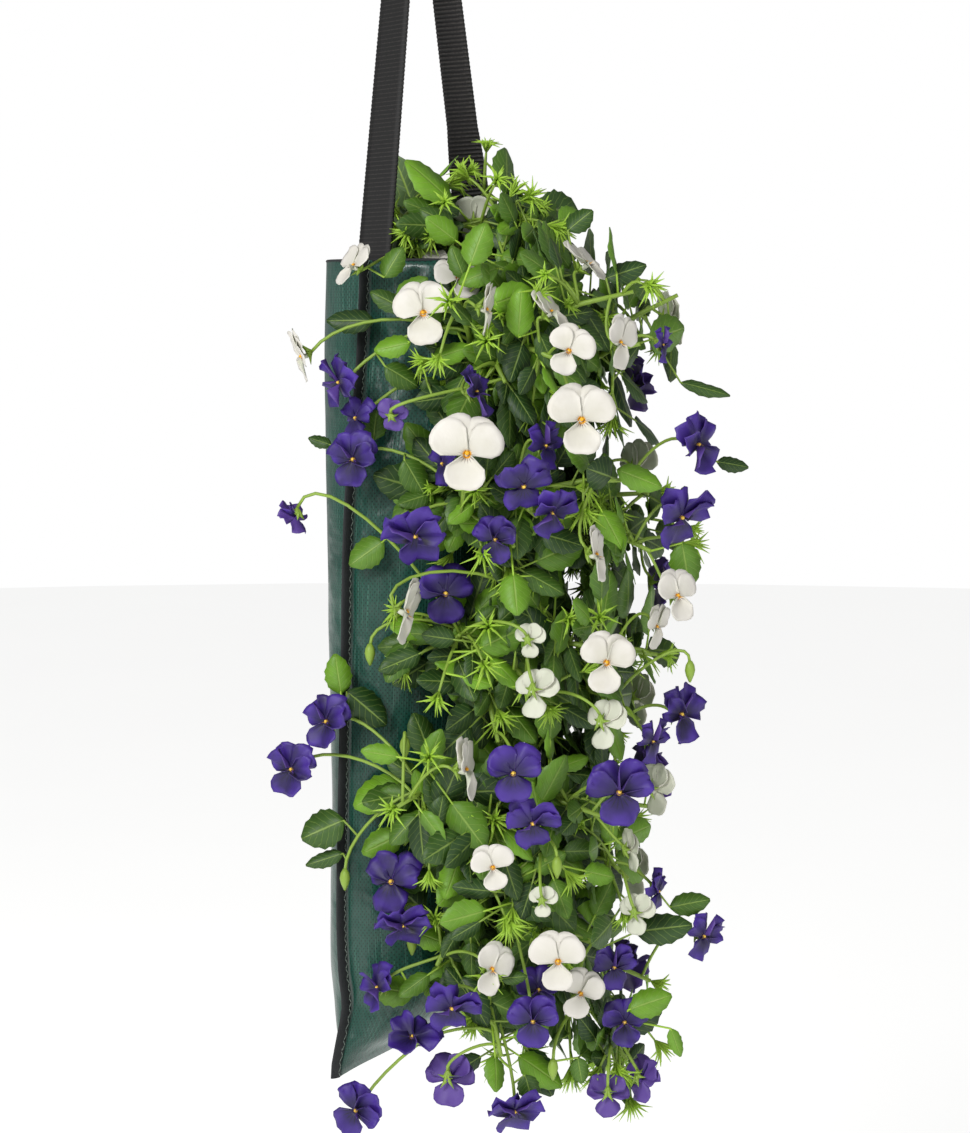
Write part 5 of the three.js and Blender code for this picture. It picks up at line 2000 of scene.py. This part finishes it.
    def add_bloom(self, shape: Shape, bloom: Bloom, draw: Draws) -> None:
        """Adds a bloom.

        Args:
            shape: The blooms.
            bloom: The bloom.
            draw: The draws.
        """
        place = bloom.frame
        axes = (place.right, place.up, place.facing)
        template = draw.pick(self.bloom_shapes[bloom.tint])
        shape.add(template, placing(place.centre, axes, [place.scale] * 3), draw())

    def own_blooms(self, petals: dict[Tint, Material]) -> None:
        """Builds the blooms that are nodes of their own.

        Args:
            petals: The finish of each tint of bloom.
        """
        draw = Draws(4242)
        for tint in Tint:
            for index, bloom in enumerate(b for b in BLOOMS if b.tint is tint and b.own):
                shape = Shape()
                self.add_bloom(shape, bloom, draw)
                node = f"{tint.value}_bloom_{index + 1:02d}"
                shape.finish(f"{node}_petals", petals[tint], tint.slot, (node,))


# Camera, light and floor

@dataclass
class Studio:
    """Camera at the photograph's angle, soft light, and a plain pale floor."""

    floor_z: float = -1.05
    floor_radius: float = 6
    floor_glow: float = 0.62
    sensor: float = 36
    world_base: float = 0.32
    world_seen: float = 0.68

    def build(self) -> None:
        """Builds it all."""
        scene = bpy.context.scene
        scene.view_settings.view_transform = "Standard"
        camera = bpy.data.objects.new("camera", bpy.data.cameras.new("camera"))
        camera.data.lens = self.sensor * VIEW.focus / VIEW.rows
        camera.data.sensor_width = self.sensor
        camera.location = in_frame(VIEW.eye)
        camera.rotation_euler = Vector(VIEW.back).to_track_quat("Z", "Y").to_euler()
        scene.collection.objects.link(camera)
        scene.camera = camera
        self.light("key", VIEW.eye + UP * 900 - TO_RIGHT * 900, 34, 0.8)
        self.light("fill", VIEW.eye + TO_RIGHT * 1400 + UP * 200, 7, 1.6)
        bm = bmesh.new()
        bmesh.ops.create_circle(bm, cap_ends=True, segments=64, radius=self.floor_radius)
        bmesh.ops.translate(bm, verts=bm.verts[:], vec=(0, 0, self.floor_z))
        mesh = bpy.data.meshes.new("floor")
        bm.to_mesh(mesh)
        bm.free()
        pale = PlainFinish("pale_floor", 0.9, base="f2f2f0", mottle="f6f6f4", scale=3).make()
        glow = pale.node_tree.nodes["Principled BSDF"]
        glow.inputs["Emission Color"].default_value = (1, 1, 1, 1)
        glow.inputs["Emission Strength"].default_value = self.floor_glow
        mesh.materials.append(pale)
        floor = bpy.data.objects.new("floor", mesh)
        scene.collection.objects.link(floor)
        world = bpy.data.worlds.new("studio")
        world.use_nodes = True
        scene.world = world
        graph = Graph(world.node_tree)
        back = world.node_tree.nodes["Background"]
        seen = graph.add("ShaderNodeLightPath", {}).outputs["Is Camera Ray"]
        strength = graph.maths("ADD", graph.times(seen, self.world_seen), self.world_base)
        graph.join(strength, back.inputs["Strength"])
        back.inputs["Color"].default_value = (1, 1, 1, 1)

    def light(self, name: str, place: Point, power: float, size: float) -> None:
        """Sets a soft square light that faces the bag.

        Args:
            name: Its name.
            place: Where it stands.
            power: Its power in watts.
            size: Its side in metres.
        """
        lamp = bpy.data.lights.new(name, "AREA")
        lamp.energy, lamp.size = power, size
        source = bpy.data.objects.new(name, lamp)
        source.location = in_frame(place)
        aim = source.location - in_frame(VIEW.target)
        source.rotation_euler = aim.to_track_quat("Z", "Y").to_euler()
        bpy.context.scene.collection.objects.link(source)


def main() -> None:
    """Builds the scene, piece by piece."""
    logging.basicConfig(level=logging.INFO, format="%(message)s")
    foliage = FoliageFinish("leaf_green", 0.5).make(leaf_veins())
    marks = petal_marks()
    petals = {
        Tint.WHITE: PetalFinish("petal_white", 0.6).make(marks),
        Tint.VIOLET: PetalFinish(
            "petal_violet", 0.55, inner="1b0b4a", outer="41248c", reverse="563c8c", line="0e0720",
            eye="ecc24a", shade="150a36", shade_share=0.85, eye_radius=0.045, line_radius=0.25).make(marks),
    }
    cloth = ClothFinish("woven_cloth", 0.36, 0.25).make()
    tape = PlainFinish("binding_tape", 0.8).make()
    thread = PlainFinish("stitch_thread", 0.7, base="76857b", mottle="96a299").make()
    webbing = WebbingFinish("black_webbing", 0.7).make()
    earth = PlainFinish("dark_soil", 0.95, base="1c130d", mottle="3b2a1e", scale=260, depth=0.004).make()

    strap = Strap()
    planting = Planting()
    planting.grow([place for place, _ in strap.stations()], strap.width)
    bag = Bag()
    bag.panel("front_cloth", -1, "front_panel", cloth, [p for p in planting.plants if p.row >= 0])
    bag.panel("back_cloth", 1, "back_panel", cloth, [])
    bag.bindings(tape, thread)
    bag.rim(tape)
    bag.crumbs(earth)
    strap.build(webbing)
    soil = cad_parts["soil_fill"]
    soil.data.materials.clear()
    soil.data.materials.append(earth)
    garden = Garden(planting)
    for plant in planting.plants:
        garden.dress(plant, foliage, petals)
    garden.own_blooms(petals)
    Studio().build()


if __name__ == "__main__":
    main()
